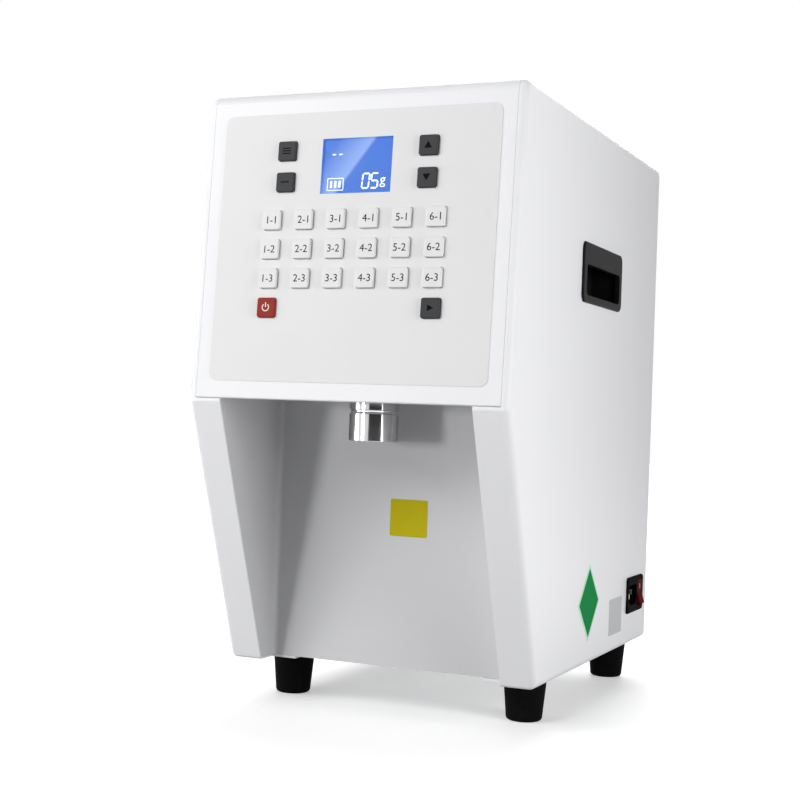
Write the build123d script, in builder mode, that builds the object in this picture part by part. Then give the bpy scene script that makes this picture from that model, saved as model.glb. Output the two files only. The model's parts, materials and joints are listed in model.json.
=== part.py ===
from build123d import *
import os
from math import atan2, cos, degrees, hypot, pi, radians, sin

# Counter-top auger powder filler: a painted sheet-steel cabinet with a keypad front, a dispensing
# bay, and a hopper whose auger feeds a short steel spout and turns a star wheel like a worm.
# Millimetres, +Z up, front towards -Y, origin on the floor under the middle of the cabinet.

# Cabinet
body_width = 240.0
body_depth = 375.0
body_height = 408.0
sheet = 1.5
seam = 0.2
overcut = 1.0
edge_radius = 5.0
chin_height = 190.0
top_setback = 14.5
leg_setback = 73.0
top_bend = 9.0
rear_bend = 8.0
chin_bend = 3.0
base_bend = 3.0
leg_width = 25.5
foot_flange = 45.0
front_return = 6.0
cover_return = 14.0
front_lip = 12.0
chin_lip_rise = 2.5
chin_lip_depth = 16.0
chin_lip_round = 1.2

# Dispensing bay and inner deck
bay_depth = 91.5
bay_bend = 4.0
deck_gap = 3.0
deck_flange = 12.0

# Base plate and rear cover
base_overlap = 13.0
base_slot_length = 46.0
base_slot_width = 5.0
base_slot_rows = 6
base_slot_pitch = 14.0
rear_overlap = 8.0
rear_lip = 14.0
vent_length = 62.0
vent_width = 5.0
vent_columns = 2
vent_rows = 9
vent_column_pitch = 84.0
vent_row_pitch = 12.0
vent_height = 118.0

# Feet and screws
foot_height = 32.0
foot_top_radius = 16.0
foot_tip_radius = 13.0
foot_round = 3.0
foot_side_inset = 25.6
foot_front_inset = 127.0
foot_rear_inset = 31.0
foot_recess_radius = 6.5
foot_recess_depth = 18.0
foot_screw_radius = 2.5
foot_screw_head_radius = 4.6
foot_screw_head = 3.5
foot_screw_tail = 7.0
screw_clearance = 0.2
cover_screw_radius = 2.0
cover_screw_head_radius = 3.6
cover_screw_head = 1.8
cover_screw_tail = 5.0
cover_screw_rows = 3
cover_screw_pitch = 150.0

# Keypad front
overlay_side = 16.0
overlay_foot = 15.0
overlay_head = 16.0
overlay_corner = 6.0
overlay_thickness = 0.5
key_size = 13.6
key_corner = 1.6
key_rise = 2.2
key_edge = 0.7
key_fit = 0.3
key_flange = 1.0
key_flange_depth = 0.8
key_gap = 0.1
key_travel = 1.0
stem_radius = 2.0
stem_fit = 0.1
stem_seat = 2.2
stem_rest = 1.0
keypad_run = 218.5
column_count = 6
row_count = 3
column_pitch = 24.6
row_pitch = 20.4
top_row = 127.3
command_offset = 53.2
command_upper = 175.7
command_lower = 153.8
display_width = 53.0
display_height = 38.4
display_middle = 164.2
display_frame = 2.0
lcd_border = 4.0
board_depth = 12.0
board_thickness = 1.6
board_side = 8.0
board_foot = 26.0
board_head = 20.5
switch_size = 8.0
switch_height = 5.6
stud_radius = 2.5
stud_inset = 5.0
chip_size = 16.0
chip_height = 2.2
plug_count = 3
plug_pitch = 42.0
plug_length = 24.0
plug_width = 8.0
plug_height = 7.0
plug_inset = 14.0

# Lift handles in the sides
handle_length = 105.0
handle_height = 45.0
handle_corner = 6.0
handle_bezel = 1.8
handle_depth = 24.0
handle_wall = 2.0
handle_border = 3.5
handle_offset = 13.5
handle_middle = 295.8
handle_lip = 13.0
handle_mouth_border = 4.0
handle_mouth_foot = 2.0
handle_mouth_corner = 4.0
handle_round = 1.4
panel_fit = 0.2

# Power inlet and switch in the right side
inlet_length = 49.5
inlet_height = 30.0
inlet_corner = 3.0
inlet_bezel = 1.8
inlet_border = 2.0
inlet_depth = 26.0
inlet_inset = 44.7
inlet_middle = 41.5
socket_length = 24.6
socket_height = 16.6
socket_corner = 1.5
socket_bevel = 4.5
socket_depth = 18.0
socket_offset = 9.5
blade_length = 15.0
blade_width = 4.0
blade_thickness = 2.0
blade_pitch = 7.0
blade_row = 1.6
earth_blade_drop = 3.5
rocker_width = 13.0
rocker_length = 20.0
rocker_fit = 0.5
rocker_swing = 1.0
rocker_offset = 13.5
rocker_pivot_depth = 4.2
rocker_crown = 5.6
rocker_valley = 4.2
rocker_keel = 5.0
rocker_keel_length = 11.0
rocker_shoulder = 1.5
rocker_tilt = 8.0
rocker_well = 13.0
trunnion_radius = 1.5
trunnion_length = 1.6
pin_fit = 0.1

# Hopper
hopper_side_gap = 4.5
hopper_setback = 32.5
drive_room = 102.5
hopper_wall = 1.5
hopper_slope_top = 80.0
hopper_rim_drop = 16.0
hopper_rim_lip = 6.0
hopper_foot = 14.0
hopper_foot_width = 90.0
filler_fit = 1.0
filler_overlap = 6.0
boss_radius = 8.0
boss_length = 26.0
boss_end = 5.0

# Lid with its hinges
lid_overlap = 9.0
lid_height = 8.0
lid_corner = 4.0
lid_round = 2.0
lid_rest = 0.2
lid_grip_width = 84.0
lid_grip_depth = 10.0
lid_grip_corner = 5.0
hinge_length = 42.0
hinge_spacing = 120.0
hinge_leaf = 1.2
hinge_leaf_depth = 18.0
hinge_hole_radius = 1.6
hinge_hole_inset = 8.0
knuckle_radius = 3.0
knuckle_length = 20.0
knuckle_gap = 0.2
hinge_pin_radius = 1.5
hinge_pin_head = 1.0
hinge_pin_head_radius = 2.4

# Auger, tube and spout
auger_rise = 29.0
auger_radius = 16.0
auger_fit = 1.0
flight_thickness = 2.0
flight_root = 0.6
flight_gap = 1.5
shaft_radius = 5.0
shaft_fit = 0.05
tube_wall = 2.5
tube_flange_radius = 27.0
tube_flange = 3.0
tube_front_reach = 24.0
cap_thickness = 5.0
cap_rim = 1.5
cap_round = 1.0
cap_plug = 5.0
cap_plug_fit = 0.1
cap_bore_depth = 6.0
shaft_end_gap = 0.5
spout_setback = 54.0
spout_radius = 17.5
spout_wall = 1.5
spout_drop = 28.0
spout_seat = 0.5
spout_fit = 0.1
spout_groove = 1.0
spout_groove_width = 3.0
spout_collar = 4.5
spout_edge = 0.4
deck_hole_fit = 0.5

# Star wheel
finger_count = 12
wheel_radius = 46.0
wheel_mesh = 5.0
finger_width = 4.0
finger_thickness = 4.0
hub_radius = 10.0
hub_length = 16.0
axle_radius = 3.0
axle_fit = 0.1
axle_collar_radius = 6.0
axle_collar = 4.0
axle_collar_gap = 0.3
axle_end_gap = 0.5

# Drive
bush_radius = 9.0
bush_flange_radius = 14.0
bush_flange = 2.5
drive_gap = 3.0
drive_radius = 10.0
drive_sleeve = 20.0
drive_socket = 12.0
drive_stub_radius = 4.0
drive_stub = 18.0
bracket_gap = 2.0
bracket_sheet = 2.0
bracket_width = 60.0
bracket_rise = 62.0
bracket_foot = 28.0
gearbox_size = 48.0
gearbox_corner = 5.0
gearbox_length = 32.0
gearbox_boss_radius = 11.0
gearbox_boss = 4.0
gearbox_bore_depth = 18.0
motor_radius = 18.0
motor_length = 28.0
motor_round = 3.0
motor_end_radius = 6.0
motor_end = 2.5

# Power supply on the base plate
supply_width = 98.0
supply_depth = 129.0
supply_height = 38.0
supply_offset = -22.0
supply_back = 40.0
supply_terminal_depth = 16.0
supply_terminal_height = 22.0
supply_edge = 1.5
terminal_ribs = 8
terminal_rib = 1.2
terminal_rise = 9.0
terminal_margin = 5.0

# Places worked out from the sizes above
half_width = body_width / 2
y_front = -body_depth / 2
y_rear = body_depth / 2
z_base = foot_height
z_top = z_base + body_height
z_chin = z_base + chin_height
z_lip = z_chin + chin_lip_rise
z_deck = z_lip + sheet
z_deck_top = z_deck + sheet
y_top_seam = y_front + top_setback + top_bend + front_lip
y_bay = y_front + bay_depth
bay_half = half_width - leg_width
front_half = half_width - front_return - seam
top_half = half_width - cover_return - seam
z_auger = z_deck_top + auger_rise
tube_bore = auger_radius + auger_fit
tube_radius = tube_bore + tube_wall
y_spout = y_front + spout_setback
z_spout_top = z_auger - tube_bore - spout_seat
z_spout_tip = z_deck - spout_drop
y_hopper_front = y_spout + hopper_setback
y_hopper_rear = y_rear - drive_room
hopper_middle = (y_hopper_front + y_hopper_rear) / 2
hopper_length = y_hopper_rear - y_hopper_front
hopper_width = body_width - 2 * (handle_depth + hopper_side_gap + hopper_wall)
z_rim = z_top - hopper_rim_drop
z_wheel = z_auger + auger_radius - wheel_mesh + wheel_radius
y_wheel = hopper_middle
auger_pitch = 2 * pi * (wheel_radius - wheel_mesh / 2) / finger_count

panel_tilt = degrees(atan2(top_setback, body_height - chin_height))
panel_normal = (0, -cos(radians(panel_tilt)), sin(radians(panel_tilt)))
panel_plane = Plane(origin=(0, y_front, z_chin), x_dir=(1, 0, 0), z_dir=panel_normal)
panel_axis = Axis((0, y_front, z_chin), panel_normal)
panel_length = hypot(top_setback, body_height - chin_height)

handle_spot = (handle_offset, z_base + handle_middle)
inlet_spot = (y_rear - inlet_inset, z_base + inlet_middle)

foot_x = half_width - foot_side_inset
foot_spots = [
    (side * foot_x, y)
    for side in (-1, 1)
    for y in (y_front + foot_front_inset, y_rear - foot_rear_inset)
]

cover_screw_spots = [
    (side * (half_width - (edge_radius + cover_return) / 2), z_base + body_height / 2 + step * cover_screw_pitch)
    for side in (-1, 1)
    for step in (i - (cover_screw_rows - 1) / 2 for i in range(cover_screw_rows))
]

cabinet_corners = [
    (y_front + top_setback, z_top),
    (y_front, z_chin),
    (y_front + leg_setback, z_base),
    (y_rear, z_base),
    (y_rear, z_top),
]
cabinet_bends = [top_bend, chin_bend, base_bend, base_bend, rear_bend]

# Overlay, board and key places on the front panel; the run up the panel stretches with its length
overlay_width = body_width - 2 * overlay_side
overlay_height = panel_length - overlay_foot - overlay_head
overlay_middle = overlay_foot + overlay_height / 2
board_width = overlay_width - 2 * board_side
board_height = panel_length - board_foot - board_head
board_middle = board_foot + board_height / 2
stretch = panel_length / keypad_run
key_side = key_size * stretch
display_spot = (0, display_middle * stretch)
window_height = display_height * stretch
outer_column = (column_count - 1) / 2 * column_pitch
last_row = (top_row - row_count * row_pitch) * stretch
key_spots = {}
for column in range(column_count):
    for row in range(row_count):
        place = (column * column_pitch - outer_column, (top_row - row * row_pitch) * stretch)
        key_spots[f"key_{column + 1}_{row + 1}"] = place
key_spots["key_mode"] = (-command_offset, command_upper * stretch)
key_spots["key_set"] = (-command_offset, command_lower * stretch)
key_spots["key_up"] = (command_offset, command_upper * stretch)
key_spots["key_down"] = (command_offset, command_lower * stretch)
key_spots["key_stop"] = (-outer_column, last_row)
key_spots["key_start"] = (outer_column, last_row)


def body_outline(plane, inset=0.0):
    # Side view of the cabinet on a plane parallel to YZ, shrunk by the inset
    with BuildSketch(plane) as outline:
        with BuildLine():
            FilletPolyline(*cabinet_corners, radius=cabinet_bends, close=True)
        make_face()
        if inset > 0:
            offset(amount=-inset)
    return outline.sketch


def cabinet_skin(half):
    # Closed sheet that follows the cabinet's side view, for the part being built
    extrude(body_outline(Plane.YZ.offset(-half)), amount=2 * half)
    extrude(body_outline(Plane.YZ.offset(-half), sheet), amount=2 * half, mode=Mode.SUBTRACT)


os.makedirs("parts", exist_ok=True)


def save(piece, name):
    piece.part.label = name
    export_step(piece.part, f"parts/{name}.step")


# Side panels: shallow trays with rolled edges, a wide base flange and the leg's front face
with BuildPart() as tray_cavity:
    cavity_outline = body_outline(Plane.YZ.offset(half_width - foot_flange - overcut), sheet)
    extrude(cavity_outline, amount=foot_flange + overcut - sheet)
    fillet(tray_cavity.faces().sort_by(Axis.X)[-1].edges(), edge_radius - sheet)

with BuildPart() as side_tray:
    extrude(body_outline(Plane.YZ.offset(half_width - foot_flange)), amount=foot_flange)
    fillet(side_tray.faces().sort_by(Axis.X)[-1].edges(), edge_radius)
    add(tray_cavity.part, mode=Mode.SUBTRACT)
    # Only the base flange keeps the full width
    with Locations((half_width - leg_width, 0, z_base + sheet)):
        Box(
            foot_flange, body_depth + overcut, body_height,
            align=(Align.MAX, Align.CENTER, Align.MIN), mode=Mode.SUBTRACT,
        )
    # The base flange stops at the bay's back wall, beside the leg
    with Locations((half_width - leg_width, y_bay, z_base - overcut)):
        Box(
            foot_flange, body_depth, sheet + 2 * overcut,
            align=(Align.MAX, Align.MAX, Align.MIN), mode=Mode.SUBTRACT,
        )
    # Narrow return beside the front panel
    with Locations((half_width - front_return, y_top_seam, z_lip - seam)):
        Box(
            foot_flange, body_depth, body_height,
            align=(Align.MAX, Align.MAX, Align.MIN), mode=Mode.SUBTRACT,
        )
    # Returns that carry the top panel and the rear cover
    with Locations((half_width - cover_return, y_bay, z_base + sheet)):
        Box(
            foot_flange, body_depth, body_height,
            align=(Align.MAX, Align.MIN, Align.MIN), mode=Mode.SUBTRACT,
        )
    with Locations((half_width - cover_return, 0, z_lip - seam)):
        Box(
            foot_flange, body_depth + overcut, body_height,
            align=(Align.MAX, Align.CENTER, Align.MIN), mode=Mode.SUBTRACT,
        )
    # Opening for the lift handle
    with BuildSketch(Plane.YZ.offset(half_width - sheet - overcut)):
        with Locations(handle_spot):
            RectangleRounded(
                handle_length - 2 * handle_border + 2 * panel_fit,
                handle_height - 2 * handle_border + 2 * panel_fit,
                handle_corner - panel_fit,
            )
    extrude(amount=sheet + 2 * overcut, mode=Mode.SUBTRACT)
    # Holes for the foot screws and the rear cover's screws
    with BuildSketch(Plane.XY.offset(z_base - overcut)):
        with Locations(*foot_spots):
            Circle(foot_screw_radius + screw_clearance)
    extrude(amount=sheet + 2 * overcut, mode=Mode.SUBTRACT)
    with BuildSketch(Plane.XZ.offset(-y_rear - overcut)):
        with Locations(*cover_screw_spots):
            Circle(cover_screw_radius + screw_clearance)
    extrude(amount=sheet + 2 * overcut, mode=Mode.SUBTRACT)

with BuildPart() as side_panel_left:
    mirror(side_tray.part, about=Plane.YZ)
save(side_panel_left, "side_panel_left")

with BuildPart() as side_panel_right:
    add(side_tray.part)
    with BuildSketch(Plane.YZ.offset(half_width - sheet - overcut)):
        with Locations(inlet_spot):
            RectangleRounded(
                inlet_length - 2 * inlet_border + 2 * panel_fit,
                inlet_height - 2 * inlet_border + 2 * panel_fit,
                inlet_corner - panel_fit,
            )
    extrude(amount=sheet + 2 * overcut, mode=Mode.SUBTRACT)
save(side_panel_right, "side_panel_right")

# Front panel: one bent sheet from the chin lip over the top bend, pierced for keys and display
with BuildPart() as front_panel:
    cabinet_skin(front_half)
    with Locations((0, y_top_seam, z_lip)):
        Box(
            body_width, body_depth, body_height,
            align=(Align.CENTER, Align.MAX, Align.MIN), mode=Mode.INTERSECT,
        )
    with Locations((0, y_front + sheet, z_lip)):
        Box(
            2 * (bay_half - seam), chin_lip_depth, sheet,
            align=(Align.CENTER, Align.MIN, Align.MIN),
        )
    lip_edge = front_panel.edges().filter_by(Axis.X).group_by(Axis.Z)[0].sort_by(Axis.Y)[0]
    fillet(lip_edge, chin_lip_round)
    with BuildSketch(panel_plane):
        with Locations(*key_spots.values()):
            RectangleRounded(key_side + 2 * key_fit, key_side + 2 * key_fit, key_corner)
        with Locations(display_spot):
            Rectangle(display_width + 2 * display_frame, window_height + 2 * display_frame)
    extrude(amount=-2 * sheet, mode=Mode.SUBTRACT)
    with BuildSketch(panel_plane.offset(-sheet)):
        with Locations((0, board_middle)):
            with GridLocations(board_width - 2 * stud_inset, board_height - 2 * stud_inset, 2, 2):
                Circle(stud_radius)
    extrude(amount=sheet - board_depth)
save(front_panel, "front_panel")

# Top panel with the filler opening, its collar down into the hopper and a lip over the rear cover
filler_width = hopper_width - 2 * filler_fit
filler_length = hopper_length - 2 * filler_fit
filler_collar = hopper_rim_drop + filler_overlap
with BuildPart() as top_panel:
    cabinet_skin(top_half)
    with Locations((0, y_top_seam + seam, z_top - rear_lip)):
        Box(
            body_width, body_depth, body_height,
            align=(Align.CENTER, Align.MIN, Align.MIN), mode=Mode.INTERSECT,
        )
    with BuildSketch(Plane.XY.offset(z_top - filler_collar)):
        with Locations((0, hopper_middle)):
            Rectangle(filler_width, filler_length)
    extrude(amount=filler_collar)
    with BuildSketch(Plane.XY.offset(z_top - filler_collar - overcut)):
        with Locations((0, hopper_middle)):
            Rectangle(filler_width - 2 * sheet, filler_length - 2 * sheet)
    extrude(amount=filler_collar + 2 * overcut, mode=Mode.SUBTRACT)
save(top_panel, "top_panel")

# Bay liner: back wall and both side walls of the dispensing bay, cut to the legs' slope
with BuildPart() as bay_liner:
    with BuildSketch(Plane.XY.offset(z_base)) as liner_outside:
        with Locations((0, y_front)):
            Rectangle(2 * (bay_half + sheet), bay_depth + sheet, align=(Align.CENTER, Align.MIN))
        fillet(liner_outside.vertices().group_by(Axis.Y)[-1], bay_bend + sheet)
    extrude(amount=z_deck - z_base)
    with BuildSketch(Plane.XY.offset(z_base)) as liner_inside:
        with Locations((0, y_front)):
            Rectangle(2 * bay_half, bay_depth, align=(Align.CENTER, Align.MIN))
        fillet(liner_inside.vertices().group_by(Axis.Y)[-1], bay_bend)
    extrude(amount=z_deck - z_base, mode=Mode.SUBTRACT)
    leg_inside = body_outline(Plane.YZ.offset(-half_width), sheet + seam)
    extrude(leg_inside, amount=body_width, mode=Mode.INTERSECT)
save(bay_liner, "bay_liner")

# Inner deck: the bay's ceiling, and the shelf that carries the hopper and the drive
y_cover = y_rear - 2 * sheet
deck_half = half_width - sheet - seam
y_deck_front = y_front + sheet + deck_gap
with BuildPart() as inner_deck:
    with Locations((0, y_deck_front, z_deck)):
        Box(
            2 * deck_half, y_cover - seam - y_deck_front, sheet,
            align=(Align.CENTER, Align.MIN, Align.MIN),
        )
    with Locations((-deck_half, y_bay + sheet, z_deck_top), (deck_half - sheet, y_bay + sheet, z_deck_top)):
        Box(
            sheet, y_cover - deck_gap - y_bay - sheet, deck_flange + sheet,
            align=(Align.MIN, Align.MIN, Align.MAX),
        )
    with BuildSketch(Plane.XY.offset(z_deck)):
        with Locations((0, y_spout)):
            Circle(spout_radius + deck_hole_fit)
    extrude(amount=sheet, mode=Mode.SUBTRACT)
    deck_corners = inner_deck.edges().filter_by(Axis.Z).group_by(Axis.Y)
    fillet(deck_corners[0] + deck_corners[-1], edge_radius)
save(inner_deck, "inner_deck")

# Base plate on the side panels' flanges, with vent slots
base_half = half_width - foot_flange + base_overlap
y_base_front = y_bay + sheet + seam
base_length = y_cover - seam - y_base_front
with BuildPart() as base_plate:
    with Locations((0, y_base_front, z_base + sheet)):
        Box(2 * base_half, base_length, sheet, align=(Align.CENTER, Align.MIN, Align.MIN))
    with BuildSketch(Plane.XY.offset(z_base + sheet)):
        with Locations((0, y_base_front + base_length / 2)):
            with GridLocations(0, base_slot_pitch, 1, base_slot_rows):
                SlotOverall(base_slot_length, base_slot_width)
    extrude(amount=sheet, mode=Mode.SUBTRACT)
save(base_plate, "base_plate")

# Rear cover behind the side panels' rear returns, with rows of vent slots
cover_half = half_width - cover_return + rear_overlap
z_cover = z_base + 2 * sheet + seam
cover_height = z_top - rear_bend - z_cover
with BuildPart() as rear_cover:
    with Locations((0, y_cover, z_cover)):
        Box(2 * cover_half, sheet, cover_height, align=(Align.CENTER, Align.MIN, Align.MIN))
    with BuildSketch(Plane.XZ.offset(-y_rear)):
        with Locations((0, z_base + vent_height)):
            with GridLocations(vent_column_pitch, vent_row_pitch, vent_columns, vent_rows):
                SlotOverall(vent_length, vent_width)
        with Locations(*cover_screw_spots):
            Circle(cover_screw_radius + screw_clearance)
    extrude(amount=2 * sheet, mode=Mode.SUBTRACT)
save(rear_cover, "rear_cover")

# Feet: tapered rubber bumpers, hollow for their screws
with BuildPart() as rubber_feet:
    with BuildSketch(Plane.XZ) as foot_profile:
        with BuildLine():
            Polyline(
                (0, 0), (foot_tip_radius, 0), (foot_top_radius, foot_height), (0, foot_height), close=True
            )
        make_face()
        fillet(foot_profile.vertices().group_by(Axis.Y)[0].sort_by(Axis.X)[-1], foot_round)
    foot_body = revolve(axis=Axis.Z, mode=Mode.PRIVATE)
    with Locations(*foot_spots):
        add(foot_body)
    with BuildSketch(Plane.XY):
        with Locations(*foot_spots):
            Circle(foot_recess_radius)
    extrude(amount=foot_recess_depth, mode=Mode.SUBTRACT)
    with BuildSketch(Plane.XY):
        with Locations(*foot_spots):
            Circle(foot_screw_radius + screw_clearance)
    extrude(amount=foot_height, mode=Mode.SUBTRACT)
save(rubber_feet, "rubber_feet")

# Screws that hold the feet and the rear cover
with BuildPart() as cabinet_screws:
    with BuildSketch(Plane.XY.offset(foot_recess_depth - foot_screw_head)):
        with Locations(*foot_spots):
            Circle(foot_screw_head_radius)
    extrude(amount=foot_screw_head)
    with BuildSketch(Plane.XY.offset(foot_recess_depth)):
        with Locations(*foot_spots):
            Circle(foot_screw_radius)
    extrude(amount=z_base + sheet + foot_screw_tail - foot_recess_depth)
    with BuildSketch(Plane.XZ.offset(-y_rear - cover_screw_head)):
        with Locations(*cover_screw_spots):
            Circle(cover_screw_head_radius)
    extrude(amount=cover_screw_head)
    with BuildSketch(Plane.XZ.offset(-y_rear)):
        with Locations(*cover_screw_spots):
            Circle(cover_screw_radius)
    extrude(amount=2 * sheet + cover_screw_tail)
save(cabinet_screws, "cabinet_screws")

# Keypad overlay: thin printed sheet on the front panel
with BuildPart() as keypad_overlay:
    with BuildSketch(panel_plane):
        with Locations((0, overlay_middle)):
            RectangleRounded(overlay_width, overlay_height, overlay_corner)
        with Locations(*key_spots.values()):
            RectangleRounded(
                key_side + 2 * key_fit, key_side + 2 * key_fit, key_corner, mode=Mode.SUBTRACT
            )
        with Locations(display_spot):
            Rectangle(display_width, window_height, mode=Mode.SUBTRACT)
    extrude(amount=overlay_thickness)
save(keypad_overlay, "keypad_overlay")

# Display: clear lens in the panel's window, and the module behind it on the board
with BuildPart() as display_lens:
    with BuildSketch(panel_plane.offset(-sheet)):
        with Locations(display_spot):
            Rectangle(
                display_width + 2 * display_frame - 2 * panel_fit,
                window_height + 2 * display_frame - 2 * panel_fit,
            )
    extrude(amount=sheet)
save(display_lens, "display_lens")

with BuildPart() as lcd_module:
    with BuildSketch(panel_plane.offset(-board_depth)):
        with Locations(display_spot):
            Rectangle(
                display_width + 2 * display_frame + 2 * lcd_border,
                window_height + 2 * display_frame + 2 * lcd_border,
            )
    extrude(amount=board_depth - sheet)
save(lcd_module, "lcd_module")

# Keys: square caps through the panel, held by a flange behind it, with a stem into the switch
flange_back = -sheet - key_gap - key_flange_depth
switch_top = switch_height - board_depth
stem_length = flange_back - switch_top + stem_seat
switch_well = stem_seat + key_travel + stem_rest
for name, spot in key_spots.items():
    with BuildPart() as key:
        with BuildSketch(panel_plane.offset(flange_back)):
            with Locations(spot):
                RectangleRounded(key_side + 2 * key_flange, key_side + 2 * key_flange, key_corner)
        extrude(amount=key_flange_depth)
        with BuildSketch(panel_plane.offset(flange_back)):
            with Locations(spot):
                RectangleRounded(key_side, key_side, key_corner)
        extrude(amount=overlay_thickness + key_rise - flange_back)
        fillet(key.faces().sort_by(panel_axis)[-1].edges(), key_edge)
        with BuildSketch(panel_plane.offset(flange_back)):
            with Locations(spot):
                Circle(stem_radius)
        extrude(amount=-stem_length)
    save(key, name)

# Control board on the front panel's studs, with its processor and plug sockets behind, and a switch
# housing behind each key
with BuildPart() as control_board:
    with BuildSketch(panel_plane.offset(-board_depth)):
        with Locations((0, board_middle)):
            Rectangle(board_width, board_height)
    extrude(amount=-board_thickness)
    with BuildSketch(panel_plane.offset(-board_depth - board_thickness)):
        with Locations((0, board_middle)):
            Rectangle(chip_size, chip_size)
    extrude(amount=-chip_height)
    with BuildSketch(panel_plane.offset(-board_depth - board_thickness)):
        with Locations((0, board_foot + board_height - plug_inset)):
            with GridLocations(plug_pitch, 0, plug_count, 1):
                Rectangle(plug_length, plug_width)
    extrude(amount=-plug_height)
save(control_board, "control_board")

with BuildPart() as tact_switches:
    with BuildSketch(panel_plane.offset(-board_depth)):
        with Locations(*key_spots.values()):
            Rectangle(switch_size, switch_size)
    extrude(amount=switch_height)
    with BuildSketch(panel_plane.offset(switch_top)):
        with Locations(*key_spots.values()):
            Circle(stem_radius + stem_fit)
    extrude(amount=-switch_well, mode=Mode.SUBTRACT)
save(tact_switches, "tact_switches")

# Lift handles: black cups let into the sides, with a grip lip over the upper part of the mouth
cup_length = handle_length - 2 * handle_border
cup_height = handle_height - 2 * handle_border
with BuildPart() as handle_right:
    with BuildSketch(Plane.YZ.offset(half_width)):
        with Locations(handle_spot):
            RectangleRounded(handle_length, handle_height, handle_corner)
    extrude(amount=handle_bezel)
    fillet(handle_right.faces().sort_by(Axis.X)[-1].edges(), handle_round)
    with BuildSketch(Plane.YZ.offset(half_width)):
        with Locations(handle_spot):
            RectangleRounded(cup_length, cup_height, handle_corner - panel_fit)
    extrude(amount=-handle_depth)
    with BuildSketch(Plane.YZ.offset(half_width - handle_depth + handle_wall)):
        with Locations(handle_spot):
            RectangleRounded(
                cup_length - 2 * handle_wall, cup_height - 2 * handle_wall, handle_corner - handle_wall
            )
    extrude(amount=handle_depth - 2 * handle_wall, mode=Mode.SUBTRACT)
    mouth_height = cup_height - handle_mouth_foot - handle_lip
    with BuildSketch(Plane.YZ.offset(half_width - handle_wall - overcut)):
        with Locations((handle_spot[0], handle_spot[1] - cup_height / 2 + handle_mouth_foot)):
            RectangleRounded(
                cup_length - 2 * handle_mouth_border, mouth_height, handle_mouth_corner,
                align=(Align.CENTER, Align.MIN),
            )
    extrude(amount=handle_wall + handle_bezel + 2 * overcut, mode=Mode.SUBTRACT)
save(handle_right, "handle_right")

with BuildPart() as handle_left:
    mirror(handle_right.part, about=Plane.YZ)
save(handle_left, "handle_left")

# Power inlet: bezel and body with the rocker's well and the connector recess, which has two cut corners
x_pivot = half_width + inlet_bezel - rocker_pivot_depth
socket_spot = (inlet_spot[0] - socket_offset, inlet_spot[1])
rocker_spot = (inlet_spot[0] + rocker_offset, inlet_spot[1])
with BuildPart() as power_inlet:
    with BuildSketch(Plane.YZ.offset(half_width)):
        with Locations(inlet_spot):
            RectangleRounded(inlet_length, inlet_height, inlet_corner)
    extrude(amount=inlet_bezel)
    chamfer(power_inlet.faces().sort_by(Axis.X)[-1].edges(), inlet_bezel / 2)
    with BuildSketch(Plane.YZ.offset(half_width)):
        with Locations(inlet_spot):
            RectangleRounded(
                inlet_length - 2 * inlet_border, inlet_height - 2 * inlet_border, inlet_corner - panel_fit
            )
    extrude(amount=-inlet_depth)
    with BuildSketch(Plane.YZ.offset(half_width + inlet_bezel)) as socket_outline:
        with Locations(socket_spot):
            Rectangle(socket_length, socket_height)
        fillet(socket_outline.vertices().group_by(Axis.Y)[-1], socket_corner)
        chamfer(socket_outline.vertices().group_by(Axis.Y)[0], socket_bevel)
    extrude(amount=-socket_depth, mode=Mode.SUBTRACT)
    with BuildSketch(Plane.YZ.offset(half_width + inlet_bezel)):
        with Locations(rocker_spot):
            Rectangle(rocker_width + 2 * rocker_fit, rocker_length + 2 * rocker_swing)
    extrude(amount=-rocker_well, mode=Mode.SUBTRACT)
    trunnion_reach = rocker_width / 2 + trunnion_length + pin_fit
    with BuildSketch(Plane.XZ.offset(-rocker_spot[0] - trunnion_reach)):
        with Locations((x_pivot, rocker_spot[1])):
            Circle(trunnion_radius + pin_fit)
    extrude(amount=2 * trunnion_reach, mode=Mode.SUBTRACT)
save(power_inlet, "power_inlet")

# Contact blades in the connector recess: two in a row and the earth blade below
blade_spots = [
    (socket_spot[0] - blade_pitch, socket_spot[1] + blade_row),
    (socket_spot[0] + blade_pitch, socket_spot[1] + blade_row),
    (socket_spot[0], socket_spot[1] + blade_row - earth_blade_drop),
]
with BuildPart() as inlet_blades:
    with BuildSketch(Plane.YZ.offset(half_width + inlet_bezel - socket_depth)):
        with Locations(*blade_spots):
            Rectangle(blade_thickness, blade_width)
    extrude(amount=blade_length)
save(inlet_blades, "inlet_blades")

# Rocker: a two-way paddle on trunnions, resting tipped to one side
with BuildPart() as power_rocker:
    with BuildSketch(Plane.XZ.offset(-rocker_spot[0] - rocker_width / 2)):
        with Locations(Location((x_pivot, rocker_spot[1]), rocker_tilt)):
            Polygon(
                (rocker_shoulder, -rocker_length / 2),
                (rocker_crown, -rocker_length / 2),
                (rocker_valley, 0),
                (rocker_crown, rocker_length / 2),
                (rocker_shoulder, rocker_length / 2),
                (-rocker_keel, rocker_keel_length / 2),
                (-rocker_keel, -rocker_keel_length / 2),
                align=None,
            )
    extrude(amount=rocker_width)
    with BuildSketch(Plane.XZ.offset(-rocker_spot[0] - rocker_width / 2 - trunnion_length)):
        with Locations((x_pivot, rocker_spot[1])):
            Circle(trunnion_radius)
    extrude(amount=rocker_width + 2 * trunnion_length)
save(power_rocker, "power_rocker")

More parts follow.
